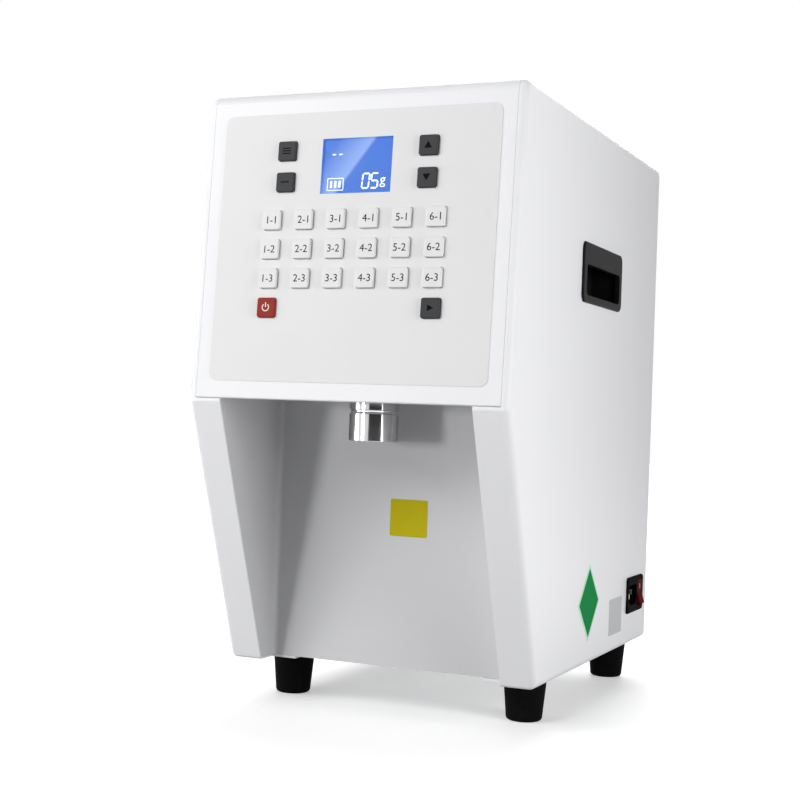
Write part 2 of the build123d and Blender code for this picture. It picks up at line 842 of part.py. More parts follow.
# Lid: shallow inverted pan over the filler opening, with a finger lip at the front
lid_width = filler_width + 2 * lid_overlap
lid_length = filler_length + 2 * lid_overlap
z_lid = z_top + lid_rest
z_lid_top = z_lid + lid_height
y_lid_rear = hopper_middle + lid_length / 2
y_lid_front = hopper_middle - lid_length / 2
with BuildPart() as lid:
    with BuildSketch(Plane.XY.offset(z_lid)):
        with Locations((0, hopper_middle)):
            RectangleRounded(lid_width, lid_length, lid_corner)
    extrude(amount=lid_height)
    fillet(lid.faces().sort_by(Axis.Z)[-1].edges(), lid_round)
    with BuildSketch(Plane.XY.offset(z_lid)):
        with Locations((0, hopper_middle)):
            RectangleRounded(lid_width - 2 * sheet, lid_length - 2 * sheet, lid_corner - sheet)
    extrude(amount=lid_height - sheet, mode=Mode.SUBTRACT)
    with BuildSketch(Plane.XY.offset(z_lid_top - lid_round - sheet)) as grip_outline:
        with Locations((0, y_lid_front + sheet)):
            Rectangle(lid_grip_width, lid_grip_depth + sheet, align=(Align.CENTER, Align.MAX))
        fillet(grip_outline.vertices().group_by(Axis.Y)[0], lid_grip_corner)
    extrude(amount=sheet)
save(lid, "lid")

# Two butt hinges: leaf on the top panel with outer knuckles, leaf on the lid with the middle one
y_hinge = y_lid_rear + knuckle_radius + lid_rest
z_hinge = z_top + knuckle_radius + lid_rest
hinge_places = (-hinge_spacing / 2, hinge_spacing / 2)
y_leaf_holes = y_hinge + (knuckle_radius + hinge_leaf_depth) / 2
with BuildPart() as hinge_fixed_leaves:
    for x in hinge_places:
        with BuildSketch(Plane.YZ.offset(x - hinge_length / 2)):
            with Locations((y_hinge, z_top)):
                Rectangle(hinge_leaf_depth, hinge_leaf, align=(Align.MIN, Align.MIN))
            with Locations((y_hinge, z_hinge)):
                Circle(knuckle_radius)
        extrude(amount=hinge_length)
        with Locations((x, y_hinge, z_hinge)):
            Box(
                knuckle_length, 2 * (knuckle_radius + knuckle_gap), 2 * (knuckle_radius + knuckle_gap),
                mode=Mode.SUBTRACT,
            )
        with BuildSketch(Plane.YZ.offset(x - hinge_length / 2)):
            with Locations((y_hinge, z_hinge)):
                Circle(hinge_pin_radius + pin_fit)
        extrude(amount=hinge_length, mode=Mode.SUBTRACT)
        with BuildSketch(Plane.XY.offset(z_top)):
            with Locations((x, y_leaf_holes)):
                with GridLocations(hinge_length - 2 * hinge_hole_inset, 0, 2, 1):
                    Circle(hinge_hole_radius)
        extrude(amount=hinge_leaf, mode=Mode.SUBTRACT)
save(hinge_fixed_leaves, "hinge_fixed_leaves")

with BuildPart() as hinge_moving_leaves:
    for x in hinge_places:
        with BuildSketch(Plane.YZ.offset(x - knuckle_length / 2 + knuckle_gap)):
            with Locations((y_hinge, z_hinge)):
                Circle(knuckle_radius)
            with Locations((y_lid_rear, z_hinge)):
                Rectangle(hinge_leaf, z_lid_top - lid_round - z_hinge, align=(Align.MIN, Align.MIN))
        extrude(amount=knuckle_length - 2 * knuckle_gap)
        with BuildSketch(Plane.YZ.offset(x - hinge_length / 2)):
            with Locations((y_hinge, z_hinge)):
                Circle(hinge_pin_radius + pin_fit)
        extrude(amount=hinge_length, mode=Mode.SUBTRACT)
save(hinge_moving_leaves, "hinge_moving_leaves")

with BuildPart() as hinge_pins:
    for x in hinge_places:
        with BuildSketch(Plane.YZ.offset(x - hinge_length / 2)):
            with Locations((y_hinge, z_hinge)):
                Circle(hinge_pin_radius)
        extrude(amount=hinge_length)
        with BuildSketch(Plane.YZ.offset(x - hinge_length / 2 - hinge_pin_head)):
            with Locations((y_hinge, z_hinge)):
                Circle(hinge_pin_head_radius)
        extrude(amount=hinge_pin_head)
save(hinge_pins, "hinge_pins")

# Hopper: upright walls and slopes down to the auger trough, between end plates that stand on the deck
hopper_rise = z_rim - z_auger - hopper_slope_top
with BuildPart() as hopper:
    with BuildSketch(Plane.XZ.offset(-y_hopper_rear)):
        with Locations((0, z_auger)):
            Circle(tube_bore)
        with Locations((0, z_rim)):
            Rectangle(hopper_width, hopper_rise, align=(Align.CENTER, Align.MAX))
        make_hull()
        offset(amount=hopper_wall, kind=Kind.INTERSECTION)
    extrude(amount=hopper_length)
    for y in (y_hopper_front, y_hopper_rear + hopper_wall):
        with BuildSketch(Plane.XZ.offset(-y)):
            with Locations((0, z_rim)):
                Rectangle(hopper_width + 2 * hopper_wall, hopper_rise, align=(Align.CENTER, Align.MAX))
            with Locations((0, z_deck_top)):
                Rectangle(hopper_foot_width, hopper_wall, align=(Align.CENTER, Align.MIN))
            make_hull()
        extrude(amount=hopper_wall)
    for y, reach in ((y_hopper_front, Align.MIN), (y_hopper_rear, Align.MAX)):
        with Locations((0, y, z_deck_top)):
            Box(hopper_foot_width, hopper_foot, hopper_wall, align=(Align.CENTER, reach, Align.MIN))
    with Locations((0, hopper_middle, z_rim)):
        Box(
            hopper_width + 2 * hopper_rim_lip, hopper_length + 2 * hopper_rim_lip, hopper_wall,
            align=(Align.CENTER, Align.CENTER, Align.MAX),
        )
    for side in (-1, 1):
        with BuildSketch(Plane.YZ.offset(side * hopper_width / 2)):
            with Locations((y_wheel, z_wheel)):
                Circle(boss_radius)
        extrude(amount=-side * boss_length)
    with BuildSketch(Plane.XZ.offset(-y_hopper_rear)):
        with Locations((0, z_auger)):
            Circle(tube_bore)
        with Locations((0, z_rim + overcut)):
            Rectangle(hopper_width, hopper_rise + overcut, align=(Align.CENTER, Align.MAX))
        make_hull()
    extrude(amount=hopper_length, mode=Mode.SUBTRACT)
    with Locations((0, hopper_middle, z_rim)):
        Box(
            body_width, body_depth, hopper_rim_drop,
            align=(Align.CENTER, Align.CENTER, Align.MIN), mode=Mode.SUBTRACT,
        )
    for y, radius in ((y_hopper_front, tube_bore), (y_hopper_rear + hopper_wall, bush_radius)):
        with BuildSketch(Plane.XZ.offset(-y)):
            with Locations((0, z_auger)):
                Circle(radius)
        extrude(amount=hopper_wall, mode=Mode.SUBTRACT)
    axle_half = hopper_width / 2 - boss_end
    with BuildSketch(Plane.YZ.offset(-axle_half)):
        with Locations((y_wheel, z_wheel)):
            Circle(axle_radius + axle_fit)
    extrude(amount=2 * axle_half, mode=Mode.SUBTRACT)
save(hopper, "hopper")

# Auger tube: flanged barrel ahead of the hopper, with a socket for the spout under its front end
y_tube_front = y_spout - tube_front_reach
y_tube_rear = y_hopper_front - hopper_wall
stub_radius = spout_radius + spout_fit + tube_wall
with BuildPart() as auger_tube:
    with BuildSketch(Plane.XZ.offset(-y_tube_rear)):
        with Locations((0, z_auger)):
            Circle(tube_radius)
    extrude(amount=y_tube_rear - y_tube_front)
    with BuildSketch(Plane.XZ.offset(-y_tube_rear)):
        with Locations((0, z_auger)):
            Circle(tube_flange_radius)
    extrude(amount=tube_flange)
    with BuildSketch(Plane.XY.offset(z_deck_top)):
        with Locations((0, y_spout)):
            Circle(stub_radius)
    extrude(amount=auger_rise)
    with BuildSketch(Plane.XZ.offset(-y_tube_rear)):
        with Locations((0, z_auger)):
            Circle(tube_bore)
    extrude(amount=y_tube_rear - y_tube_front, mode=Mode.SUBTRACT)
    with BuildSketch(Plane.XY.offset(z_deck_top)):
        with Locations((0, y_spout)):
            Circle(spout_radius + spout_fit)
    extrude(amount=z_spout_top + spout_seat / 2 - z_deck_top, mode=Mode.SUBTRACT)
    with BuildSketch(Plane.XY.offset(z_deck_top)):
        with Locations((0, y_spout)):
            Circle(spout_radius - spout_wall)
    extrude(amount=auger_rise, mode=Mode.SUBTRACT)
save(auger_tube, "auger_tube")

# End cap that closes the barrel and carries the auger's front end
with BuildPart() as tube_end_cap:
    with BuildSketch(Plane.XZ.offset(-y_tube_front)):
        with Locations((0, z_auger)):
            Circle(tube_radius + cap_rim)
    extrude(amount=cap_thickness)
    fillet(tube_end_cap.faces().sort_by(Axis.Y)[0].edges(), cap_round)
    with BuildSketch(Plane.XZ.offset(-y_tube_front)):
        with Locations((0, z_auger)):
            Circle(tube_bore - cap_plug_fit)
    extrude(amount=-cap_plug)
    with BuildSketch(Plane.XZ.offset(-y_tube_front - cap_plug)):
        with Locations((0, z_auger)):
            Circle(shaft_radius + shaft_fit)
    extrude(amount=cap_bore_depth, mode=Mode.SUBTRACT)
save(tube_end_cap, "tube_end_cap")

# Spout: polished tube below the deck, grooved under its collar
spout_bore = spout_radius - spout_wall
z_groove = z_deck - spout_collar
with BuildPart() as spout:
    with BuildSketch(Plane.XY.offset(z_spout_tip)):
        with Locations((0, y_spout)):
            Circle(spout_radius)
    extrude(amount=z_spout_top - z_spout_tip)
    chamfer(spout.faces().sort_by(Axis.Z)[0].edges(), spout_edge)
    with BuildSketch(Plane.XY.offset(z_groove)):
        with Locations((0, y_spout)):
            Circle(spout_radius)
            Circle(spout_radius - spout_groove, mode=Mode.SUBTRACT)
    extrude(amount=-spout_groove_width, mode=Mode.SUBTRACT)
    with BuildSketch(Plane.XY.offset(z_spout_tip)):
        with Locations((0, y_spout)):
            Circle(spout_bore)
    extrude(amount=z_spout_top - z_spout_tip, mode=Mode.SUBTRACT)
save(spout, "spout")

# Auger: shaft with a right-handed flight, set so that the star wheel's lowest finger stands midway
# between two turns of the flight
y_bush = y_hopper_rear + hopper_wall
y_drive = y_bush + bush_flange + drive_gap
y_shaft_front = y_tube_front + cap_plug - cap_bore_depth + shaft_end_gap
y_shaft_rear = y_drive + drive_socket - shaft_end_gap
turns_ahead = int((y_wheel - y_tube_front - cap_plug - flight_gap) / auger_pitch - 0.5)
y_flight = y_wheel - (turns_ahead + 0.5) * auger_pitch
flight_length = y_hopper_rear - flight_gap - flight_thickness / 2 - y_flight
flight_inside = shaft_radius - flight_root
with BuildPart() as auger:
    with BuildLine() as flight_path:
        Helix(
            pitch=auger_pitch, height=flight_length, radius=auger_radius,
            center=(0, y_flight, z_auger), direction=(0, 1, 0),
        )
    with BuildSketch(Plane.YZ):
        with Locations((y_flight, z_auger + auger_radius)):
            Rectangle(flight_thickness, auger_radius - flight_inside, align=(Align.CENTER, Align.MAX))
    sweep(path=flight_path.line, is_frenet=True)
    with BuildSketch(Plane.XZ.offset(-y_shaft_rear)):
        with Locations((0, z_auger)):
            Circle(shaft_radius)
    extrude(amount=y_shaft_rear - y_shaft_front)
save(auger, "auger")

# Star wheel: fingers that the flight pushes one place on for each turn of the auger
finger_length = wheel_radius - hub_radius + finger_width
with BuildPart() as star_wheel:
    with BuildSketch(Plane.YZ.offset(-finger_thickness / 2)):
        with Locations((y_wheel, z_wheel)):
            with PolarLocations(wheel_radius - finger_length / 2, finger_count):
                SlotOverall(finger_length, finger_width)
    extrude(amount=finger_thickness)
    with BuildSketch(Plane.YZ.offset(-hub_length / 2)):
        with Locations((y_wheel, z_wheel)):
            Circle(hub_radius)
    extrude(amount=hub_length)
    with BuildSketch(Plane.YZ.offset(-hub_length / 2)):
        with Locations((y_wheel, z_wheel)):
            Circle(axle_radius + axle_fit)
    extrude(amount=hub_length, mode=Mode.SUBTRACT)
save(star_wheel, "star_wheel")

# Axle across the hopper, with a collar on each side of the wheel's hub
axle_reach = axle_half - axle_end_gap
with BuildPart() as wheel_axle:
    with BuildSketch(Plane.YZ.offset(-axle_reach)):
        with Locations((y_wheel, z_wheel)):
            Circle(axle_radius)
    extrude(amount=2 * axle_reach)
    collar_start = hub_length / 2 + axle_collar_gap
    for side in (-1, 1):
        with BuildSketch(Plane.YZ.offset(side * collar_start)):
            with Locations((y_wheel, z_wheel)):
                Circle(axle_collar_radius)
        extrude(amount=side * axle_collar)
save(wheel_axle, "wheel_axle")

# Bush in the hopper's rear plate, flanged on the outside
with BuildPart() as shaft_bush:
    with BuildSketch(Plane.XZ.offset(-y_bush)):
        with Locations((0, z_auger)):
            Circle(bush_radius)
    extrude(amount=hopper_wall)
    with BuildSketch(Plane.XZ.offset(-y_bush)):
        with Locations((0, z_auger)):
            Circle(bush_flange_radius)
    extrude(amount=-bush_flange)
    with BuildSketch(Plane.XZ.offset(-y_bush - bush_flange)):
        with Locations((0, z_auger)):
            Circle(shaft_radius + shaft_fit)
    extrude(amount=bush_flange + hopper_wall, mode=Mode.SUBTRACT)
save(shaft_bush, "shaft_bush")

# Drive shaft: socket for the auger's shaft in front, stub into the gearbox behind
y_sleeve_rear = y_drive + drive_sleeve
with BuildPart() as drive_shaft:
    with BuildSketch(Plane.XZ.offset(-y_drive)):
        with Locations((0, z_auger)):
            Circle(drive_radius)
    extrude(amount=-drive_sleeve)
    with BuildSketch(Plane.XZ.offset(-y_sleeve_rear)):
        with Locations((0, z_auger)):
            Circle(drive_stub_radius)
    extrude(amount=-drive_stub)
    with BuildSketch(Plane.XZ.offset(-y_drive)):
        with Locations((0, z_auger)):
            Circle(shaft_radius + shaft_fit)
    extrude(amount=-drive_socket, mode=Mode.SUBTRACT)
save(drive_shaft, "drive_shaft")

# Motor bracket: angle of sheet on the deck, with a gusset on each side
y_bracket = y_sleeve_rear + bracket_gap + gearbox_boss - bracket_sheet
y_gearbox = y_bracket + bracket_sheet
with BuildPart() as motor_bracket:
    with BuildSketch(Plane.XZ.offset(-y_gearbox)):
        with Locations((0, z_deck_top)):
            Rectangle(bracket_width, bracket_rise, align=(Align.CENTER, Align.MIN))
    extrude(amount=bracket_sheet)
    with Locations((0, y_gearbox, z_deck_top)):
        Box(
            bracket_width, bracket_foot, bracket_sheet, align=(Align.CENTER, Align.MAX, Align.MIN)
        )
    for x in (-bracket_width / 2, bracket_width / 2 - bracket_sheet):
        with BuildSketch(Plane.YZ.offset(x)):
            with Locations((y_gearbox, z_deck_top)):
                Polygon((0, 0), (-bracket_foot, 0), (0, bracket_rise), align=None)
        extrude(amount=bracket_sheet)
    with BuildSketch(Plane.XZ.offset(-y_gearbox)):
        with Locations((0, z_auger)):
            Circle(gearbox_boss_radius + panel_fit)
    extrude(amount=bracket_sheet, mode=Mode.SUBTRACT)
save(motor_bracket, "motor_bracket")

# Gear motor: square gearbox with a bored boss, motor can and rear bearing cap
with BuildPart() as gear_motor:
    with BuildSketch(Plane.XZ.offset(-y_gearbox)):
        with Locations((0, z_auger)):
            RectangleRounded(gearbox_size, gearbox_size, gearbox_corner)
    extrude(amount=-gearbox_length)
    with BuildSketch(Plane.XZ.offset(-y_gearbox)):
        with Locations((0, z_auger)):
            Circle(gearbox_boss_radius)
    extrude(amount=gearbox_boss)
    with BuildSketch(Plane.XZ.offset(-y_gearbox - gearbox_length)):
        with Locations((0, z_auger)):
            Circle(motor_radius)
    extrude(amount=-motor_length)
    fillet(gear_motor.faces().sort_by(Axis.Y)[-1].edges(), motor_round)
    with BuildSketch(Plane.XZ.offset(-y_gearbox - gearbox_length - motor_length)):
        with Locations((0, z_auger)):
            Circle(motor_end_radius)
    extrude(amount=-motor_end)
    with BuildSketch(Plane.XZ.offset(-y_gearbox + gearbox_boss)):
        with Locations((0, z_auger)):
            Circle(drive_stub_radius + shaft_fit)
    extrude(amount=-gearbox_bore_depth, mode=Mode.SUBTRACT)
save(gear_motor, "gear_motor")

# Power supply on the base plate: metal case with a ribbed terminal step at its rear end
z_supply = z_base + 2 * sheet
with BuildPart() as power_supply:
    with Locations((supply_offset, supply_back, z_supply)):
        Box(supply_width, supply_depth, supply_height, align=(Align.CENTER, Align.CENTER, Align.MIN))
    chamfer(power_supply.edges().filter_by(Axis.Z), supply_edge)
    with Locations((supply_offset, supply_back + supply_depth / 2, z_supply + supply_height)):
        Box(
            supply_width, supply_terminal_depth, supply_terminal_height,
            align=(Align.CENTER, Align.MAX, Align.MAX), mode=Mode.SUBTRACT,
        )
    terminal_pitch = (supply_width - 2 * terminal_margin) / (terminal_ribs - 1)
    y_terminals = supply_back + (supply_depth - supply_terminal_depth) / 2
    with BuildSketch(Plane.XY.offset(z_supply + supply_height - supply_terminal_height)):
        with Locations((supply_offset, y_terminals)):
            with GridLocations(terminal_pitch, 0, terminal_ribs, 1):
                Rectangle(terminal_rib, supply_terminal_depth)
    extrude(amount=terminal_rise)
save(power_supply, "power_supply")
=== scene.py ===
import json

import bpy
import numpy as np
from mathutils import Matrix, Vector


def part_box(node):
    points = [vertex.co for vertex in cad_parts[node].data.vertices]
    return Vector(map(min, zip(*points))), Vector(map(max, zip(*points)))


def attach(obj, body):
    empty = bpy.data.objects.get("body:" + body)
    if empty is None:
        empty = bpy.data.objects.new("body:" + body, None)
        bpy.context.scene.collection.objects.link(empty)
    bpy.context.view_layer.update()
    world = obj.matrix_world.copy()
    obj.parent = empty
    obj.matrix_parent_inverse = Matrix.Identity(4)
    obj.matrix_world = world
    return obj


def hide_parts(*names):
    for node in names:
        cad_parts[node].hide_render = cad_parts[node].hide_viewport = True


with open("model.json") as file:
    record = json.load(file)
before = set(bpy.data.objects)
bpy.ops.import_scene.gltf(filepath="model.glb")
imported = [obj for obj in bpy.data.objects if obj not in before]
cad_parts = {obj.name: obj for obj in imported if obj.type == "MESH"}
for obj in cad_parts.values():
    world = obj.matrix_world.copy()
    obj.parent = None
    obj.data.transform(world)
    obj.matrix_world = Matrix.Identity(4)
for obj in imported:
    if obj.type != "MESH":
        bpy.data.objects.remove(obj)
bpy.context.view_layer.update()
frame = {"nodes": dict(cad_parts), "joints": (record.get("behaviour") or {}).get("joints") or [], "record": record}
nodes = frame["nodes"]
scene = bpy.context.scene
mm = 0.001
print("frame loaded:", len(nodes), "nodes")

# Camera fitted to the photograph: place in metres, turns in degrees
cameraPlan = {
    "lens": 65.31, "sensor": 36.0, "place": (0.4299, -1.0642, 0.2164),
    "yaw": 23.792, "pitch": -0.632, "roll": 2.075, "near": 0.05, "far": 50.0,
}


def poseOf(right, up, back, place):
    # a holder's own right, up and back, and its place, as the columns of its matrix
    pose = np.eye(4)
    pose[:3] = np.column_stack([right, up, back, place])
    return Matrix(pose.tolist())


def makeCamera(plan):
    # right, up and forward from yaw and pitch, then right and up turned by the roll
    yaw, pitch, roll = np.radians([plan["yaw"], plan["pitch"], plan["roll"]])
    forward = np.array([-np.sin(yaw) * np.cos(pitch), np.cos(yaw) * np.cos(pitch), -np.sin(pitch)])
    level = np.array([np.cos(yaw), np.sin(yaw), 0.0])
    upright = np.cross(level, forward)
    right = level * np.cos(roll) + upright * np.sin(roll)
    up = upright * np.cos(roll) - level * np.sin(roll)
    data = bpy.data.cameras.new("photoCamera")
    data.lens, data.sensor_width = plan["lens"], plan["sensor"]
    data.clip_start, data.clip_end = plan["near"], plan["far"]
    camera = bpy.data.objects.new("photoCamera", data)
    camera.matrix_world = poseOf(right, up, -forward, plan["place"])
    scene.collection.objects.link(camera)
    scene.camera = camera


makeCamera(cameraPlan)
print("camera set")


class Wire:
    # an output socket that takes part in sums: an expression on wires adds its Math nodes
    def __init__(self, tree, socket):
        self.tree = tree
        self.socket = socket

    def node(self, kind, settings, values, out=0):
        made = self.tree.nodes.new(kind)
        for key, value in settings.items():
            setattr(made, key, value)
        for key, value in values.items():
            if isinstance(value, Wire):
                self.tree.links.new(value.socket, made.inputs[key])
            else:
                made.inputs[key].default_value = value
        return Wire(self.tree, made.outputs[out])

    def maths(self, operation, first, second):
        return self.node("ShaderNodeMath", {"operation": operation}, {0: first, 1: second})

    def __add__(self, other):
        return self.maths("ADD", self, other)

    def __radd__(self, other):
        return self.maths("ADD", other, self)

    def __sub__(self, other):
        return self.maths("SUBTRACT", self, other)

    def __rsub__(self, other):
        return self.maths("SUBTRACT", other, self)

    def __mul__(self, other):
        return self.maths("MULTIPLY", self, other)

    def __rmul__(self, other):
        return self.maths("MULTIPLY", other, self)

    def __lt__(self, other):
        return self.maths("LESS_THAN", self, other)

    def __gt__(self, other):  # Python's reflected form of <
        return self.maths("GREATER_THAN", self, other)


def stretched(coord, scale):
    return coord.node("ShaderNodeMapping", {}, {"Vector": coord, "Scale": scale})


def noise(coord, scale, detail):
    return coord.node("ShaderNodeTexNoise", {}, {"Vector": coord, "Scale": scale, "Detail": detail}, "Fac")


def cells(coord, out, scale, distance="EUCLIDEAN", randomness=1.0):
    return coord.node(
        "ShaderNodeTexVoronoi", {"distance": distance},
        {"Vector": coord, "Scale": scale, "Randomness": randomness}, out,
    )


def clamped(wire):
    return wire.node("ShaderNodeClamp", {}, {0: wire})


def axisOf(coord, axis):
    return coord.node("ShaderNodeSeparateXYZ", {}, {0: coord}, axis)


def tint(factor, low, high):
    # the Mix node's colour sockets: 6 and 7 go in, 2 comes out
    return factor.node(
        "ShaderNodeMix", {"data_type": "RGBA"}, {0: factor, 6: (*low, 1.0), 7: (*high, 1.0)}, 2
    )


def ranged(wire, base, span):
    return base + wire * span


def bump(height, strength, depth):
    return height.node("ShaderNodeBump", {}, {"Height": height, "Strength": strength, "Distance": depth})


def surface(name, fixed, paint):
    # a Principled material: fixed values on its own sockets, and what paint returns linked to others
    material = bpy.data.materials.new(name)
    material.use_nodes = True
    tree = material.node_tree
    shader = tree.nodes["Principled BSDF"]
    for key, value in fixed.items():
        shader.inputs[key].default_value = value
    coord = Wire(tree, tree.nodes.new("ShaderNodeTexCoord").outputs["Object"])
    for key, wire in paint(coord).items():
        tree.links.new(wire.socket, shader.inputs[key])
    return material


# Finishes. Colours are linear and come in pairs, from low to high. A noise is a scale in cycles per metre
# and a detail, rough is a base and a span, and a bump is a strength and a depth in metres.
paintPlan = {
    "low": (0.832, 0.834, 0.858), "high": (0.862, 0.864, 0.888), "bayShade": 0.72,
    "drift": (9.0, 2.0), "peel": (750.0, 1.0), "rough": (0.36, 0.08), "bump": (0.1, 0.00012),
}


def powderCoat(shade):
    # a slow drift in colour and gloss over a fine orange peel; a shade below 1 makes a darker copy of the coat,
    # painted shade
    def paint(coord):
        drift = noise(coord, *paintPlan["drift"])
        low, high = np.array(paintPlan["low"]) * shade, np.array(paintPlan["high"]) * shade
        return {
            "Base Color": tint(drift, low, high),
            "Roughness": ranged(drift, *paintPlan["rough"]),
            "Normal": bump(noise(coord, *paintPlan["peel"]), *paintPlan["bump"]),
        }
    return paint


sheetPlan = {
    "colours": ((0.735, 0.733, 0.737), (0.77, 0.767, 0.77)),
    "drift": (14.0, 2.0), "grain": (2600.0, 1.0), "rough": (0.42, 0.1), "bump": (0.12, 0.00006),
}


def printedSheet(coord):
    grain = noise(coord, *sheetPlan["grain"])
    return {
        "Base Color": tint(noise(coord, *sheetPlan["drift"]), *sheetPlan["colours"]),
        "Roughness": ranged(grain, *sheetPlan["rough"]),
        "Normal": bump(grain, *sheetPlan["bump"]),
    }


keyPlan = {
    "pale": ((0.735, 0.735, 0.74), (0.77, 0.77, 0.775)),
    "dark": ((0.044, 0.045, 0.048), (0.06, 0.061, 0.065)),
    "red": ((0.27, 0.03, 0.022), (0.33, 0.04, 0.028)),
    "rocker": ((0.11, 0.004, 0.004), (0.15, 0.006, 0.006)),
    "cloud": (60.0, 2.0), "grain": (1800.0, 1.0), "rough": (0.34, 0.1), "bump": (0.08, 0.00005),
}


def satinKey(colours):
    def paint(coord):
        cloud = noise(coord, *keyPlan["cloud"])
        return {
            "Base Color": tint(cloud, *colours),
            "Roughness": ranged(cloud, *keyPlan["rough"]),
            "Normal": bump(noise(coord, *keyPlan["grain"]), *keyPlan["bump"]),
        }
    return paint


mouldPlan = {
    "cloud": (35.0, 2.0), "rough": (0.4, 0.18),
    # the inlet's colours are a darker copy of the handles' black: painted shade in the inlet's recess
    "inlet": {
        "colours": ((0.003, 0.003, 0.0034), (0.007, 0.007, 0.0075)),
        "grain": (1400.0, 2.0), "bump": (0.35, 0.00012),
    },
    "handle": {
        "colours": ((0.006, 0.006, 0.0065), (0.012, 0.012, 0.0125)),
        "grain": (1100.0, 2.0), "bump": (0.35, 0.00015),
    },
}


def mouldedPlastic(own):
    def paint(coord):
        grain = noise(coord, *own["grain"])
        return {
            "Base Color": tint(noise(coord, *mouldPlan["cloud"]), *own["colours"]),
            "Roughness": ranged(grain, *mouldPlan["rough"]),
            "Normal": bump(grain, *own["bump"]),
        }
    return paint


rubberPlan = {
    "colours": ((0.002, 0.002, 0.0022), (0.007, 0.007, 0.0075)),
    "dust": (160.0, 3.0), "skin": (900.0, 1.0), "rough": (0.62, 0.2), "bump": (0.3, 0.0001),
}


def rubberFoot(coord):
    dust = noise(coord, *rubberPlan["dust"])
    return {
        "Base Color": tint(dust, *rubberPlan["colours"]),
        "Roughness": ranged(dust, *rubberPlan["rough"]),
        "Normal": bump(noise(coord, *rubberPlan["skin"]), *rubberPlan["bump"]),
    }


brushPlan = {
    "streak": (1.0, 3.0), "cloud": (12.0, 2.0), "cloudSpan": 0.06, "bump": (0.12, 0.00004),
    "sheet": {
        "colours": ((0.5, 0.5, 0.5), (0.66, 0.66, 0.655)),
        "scale": (900.0, 900.0, 14.0), "rough": (0.2, 0.14),
    },
    "hinge": {
        "colours": ((0.27, 0.27, 0.275), (0.38, 0.38, 0.385)),
        "scale": (14.0, 900.0, 900.0), "rough": (0.34, 0.14),
    },
    "screw": {
        "colours": ((0.32, 0.32, 0.32), (0.44, 0.44, 0.435)),
        "scale": (400.0, 400.0, 400.0), "rough": (0.26, 0.14),
    },
}


def brushedSteel(own):
    # streaks: noise squeezed across the brushing and stretched along it, where the scales differ
    def paint(coord):
        streak = noise(stretched(coord, own["scale"]), *brushPlan["streak"])
        cloud = noise(coord, *brushPlan["cloud"])
        return {
            "Base Color": tint(streak, *own["colours"]),
            "Roughness": ranged(streak, *own["rough"]) + cloud * brushPlan["cloudSpan"],
            "Normal": bump(streak, *brushPlan["bump"]),
        }
    return paint


polishPlan = {
    "colours": ((0.53, 0.53, 0.54), (0.61, 0.61, 0.615)), "scale": (6.0, 6.0, 2400.0), "ring": (1.0, 1.0),
    "smear": (70.0, 2.0), "rough": (0.08, 0.05), "smearSpan": 0.04,
}


def polishedSteel(coord):
    # fine lathe rings: noise squeezed along the tube's axis
    ring = noise(stretched(coord, polishPlan["scale"]), *polishPlan["ring"])
    smear = noise(coord, *polishPlan["smear"])
    return {
        "Base Color": tint(smear, *polishPlan["colours"]),
        "Roughness": ranged(ring, *polishPlan["rough"]) + smear * polishPlan["smearSpan"],
    }


zincPlan = {
    "colours": ((0.46, 0.47, 0.48), (0.64, 0.65, 0.66)), "crystal": 95.0,
    "skin": (500.0, 2.0), "rough": (0.34, 0.16), "bump": (0.1, 0.00005),
}


def zincSheet(coord):
    # flat crystals of different brightness, as on galvanised sheet
    shade = axisOf(cells(coord, "Color", zincPlan["crystal"]), 0)
    return {
        "Base Color": tint(shade, *zincPlan["colours"]),
        "Roughness": ranged(shade, *zincPlan["rough"]),
        "Normal": bump(noise(coord, *zincPlan["skin"]), *zincPlan["bump"]),
    }


contactPlan = {
    "colours": ((0.52, 0.49, 0.42), (0.7, 0.68, 0.62)), "scale": (60.0, 900.0, 900.0), "wear": (1.0, 2.0),
    "rough": (0.22, 0.12),
}


def nickelContact(coord):
    # scratches along the blade, the way a plug wears it
    wear = noise(stretched(coord, contactPlan["scale"]), *contactPlan["wear"])
    return {
        "Base Color": tint(wear, *contactPlan["colours"]),
        "Roughness": ranged(wear, *contactPlan["rough"]),
    }


lensPlan = {"colour": (0.6, 0.7, 0.9, 1.0), "alpha": 0.02, "smear": (30.0, 3.0), "rough": (0.04, 0.05)}


def clearLens(coord):
    return {"Roughness": ranged(noise(coord, *lensPlan["smear"]), *lensPlan["rough"])}


# dark is the backlight's own blue, and light is the colour of the painted glare laid over it
displayPlan = {
    "dark": (0.027, 0.158, 0.69), "light": (0.3, 0.47, 0.9), "glow": 0.85, "unlit": 0.15,
    "middle": 0.386, "slant": 0.75, "edge": 300.0, "fade": 34.0,
    "pixels": (2200.0, 0.0), "pixelShare": 0.06, "rough": (0.25, 0.1),
}


def backlightWithPaintedGlare(coord):
    # a painted glare over the backlight's glow: a pale streak, sharp along a slanting line through the display's
    # middle, fading out to the left of it
    plan = displayPlan
    left = (axisOf(coord, 2) - plan["middle"]) * plan["slant"] - axisOf(coord, 0)
    streak = clamped(left * plan["edge"]) * clamped(1 - left * plan["fade"])
    pixels = noise(coord, *plan["pixels"])
    level = clamped(streak * (1 - plan["pixelShare"]) + pixels * plan["pixelShare"])
    dark, light = np.array(plan["dark"]), np.array(plan["light"])
    return {
        "Base Color": tint(level, dark * plan["unlit"], light * plan["unlit"]),
        "Emission Color": tint(level, dark, light),
        "Roughness": ranged(pixels, *plan["rough"]),
    }


boardPlan = {
    "colours": ((0.02, 0.13, 0.05), (0.05, 0.26, 0.1)), "scale": 160.0, "pad": 0.28,
    "rough": (0.32, 0.1), "bump": (0.3, 0.00004),
}


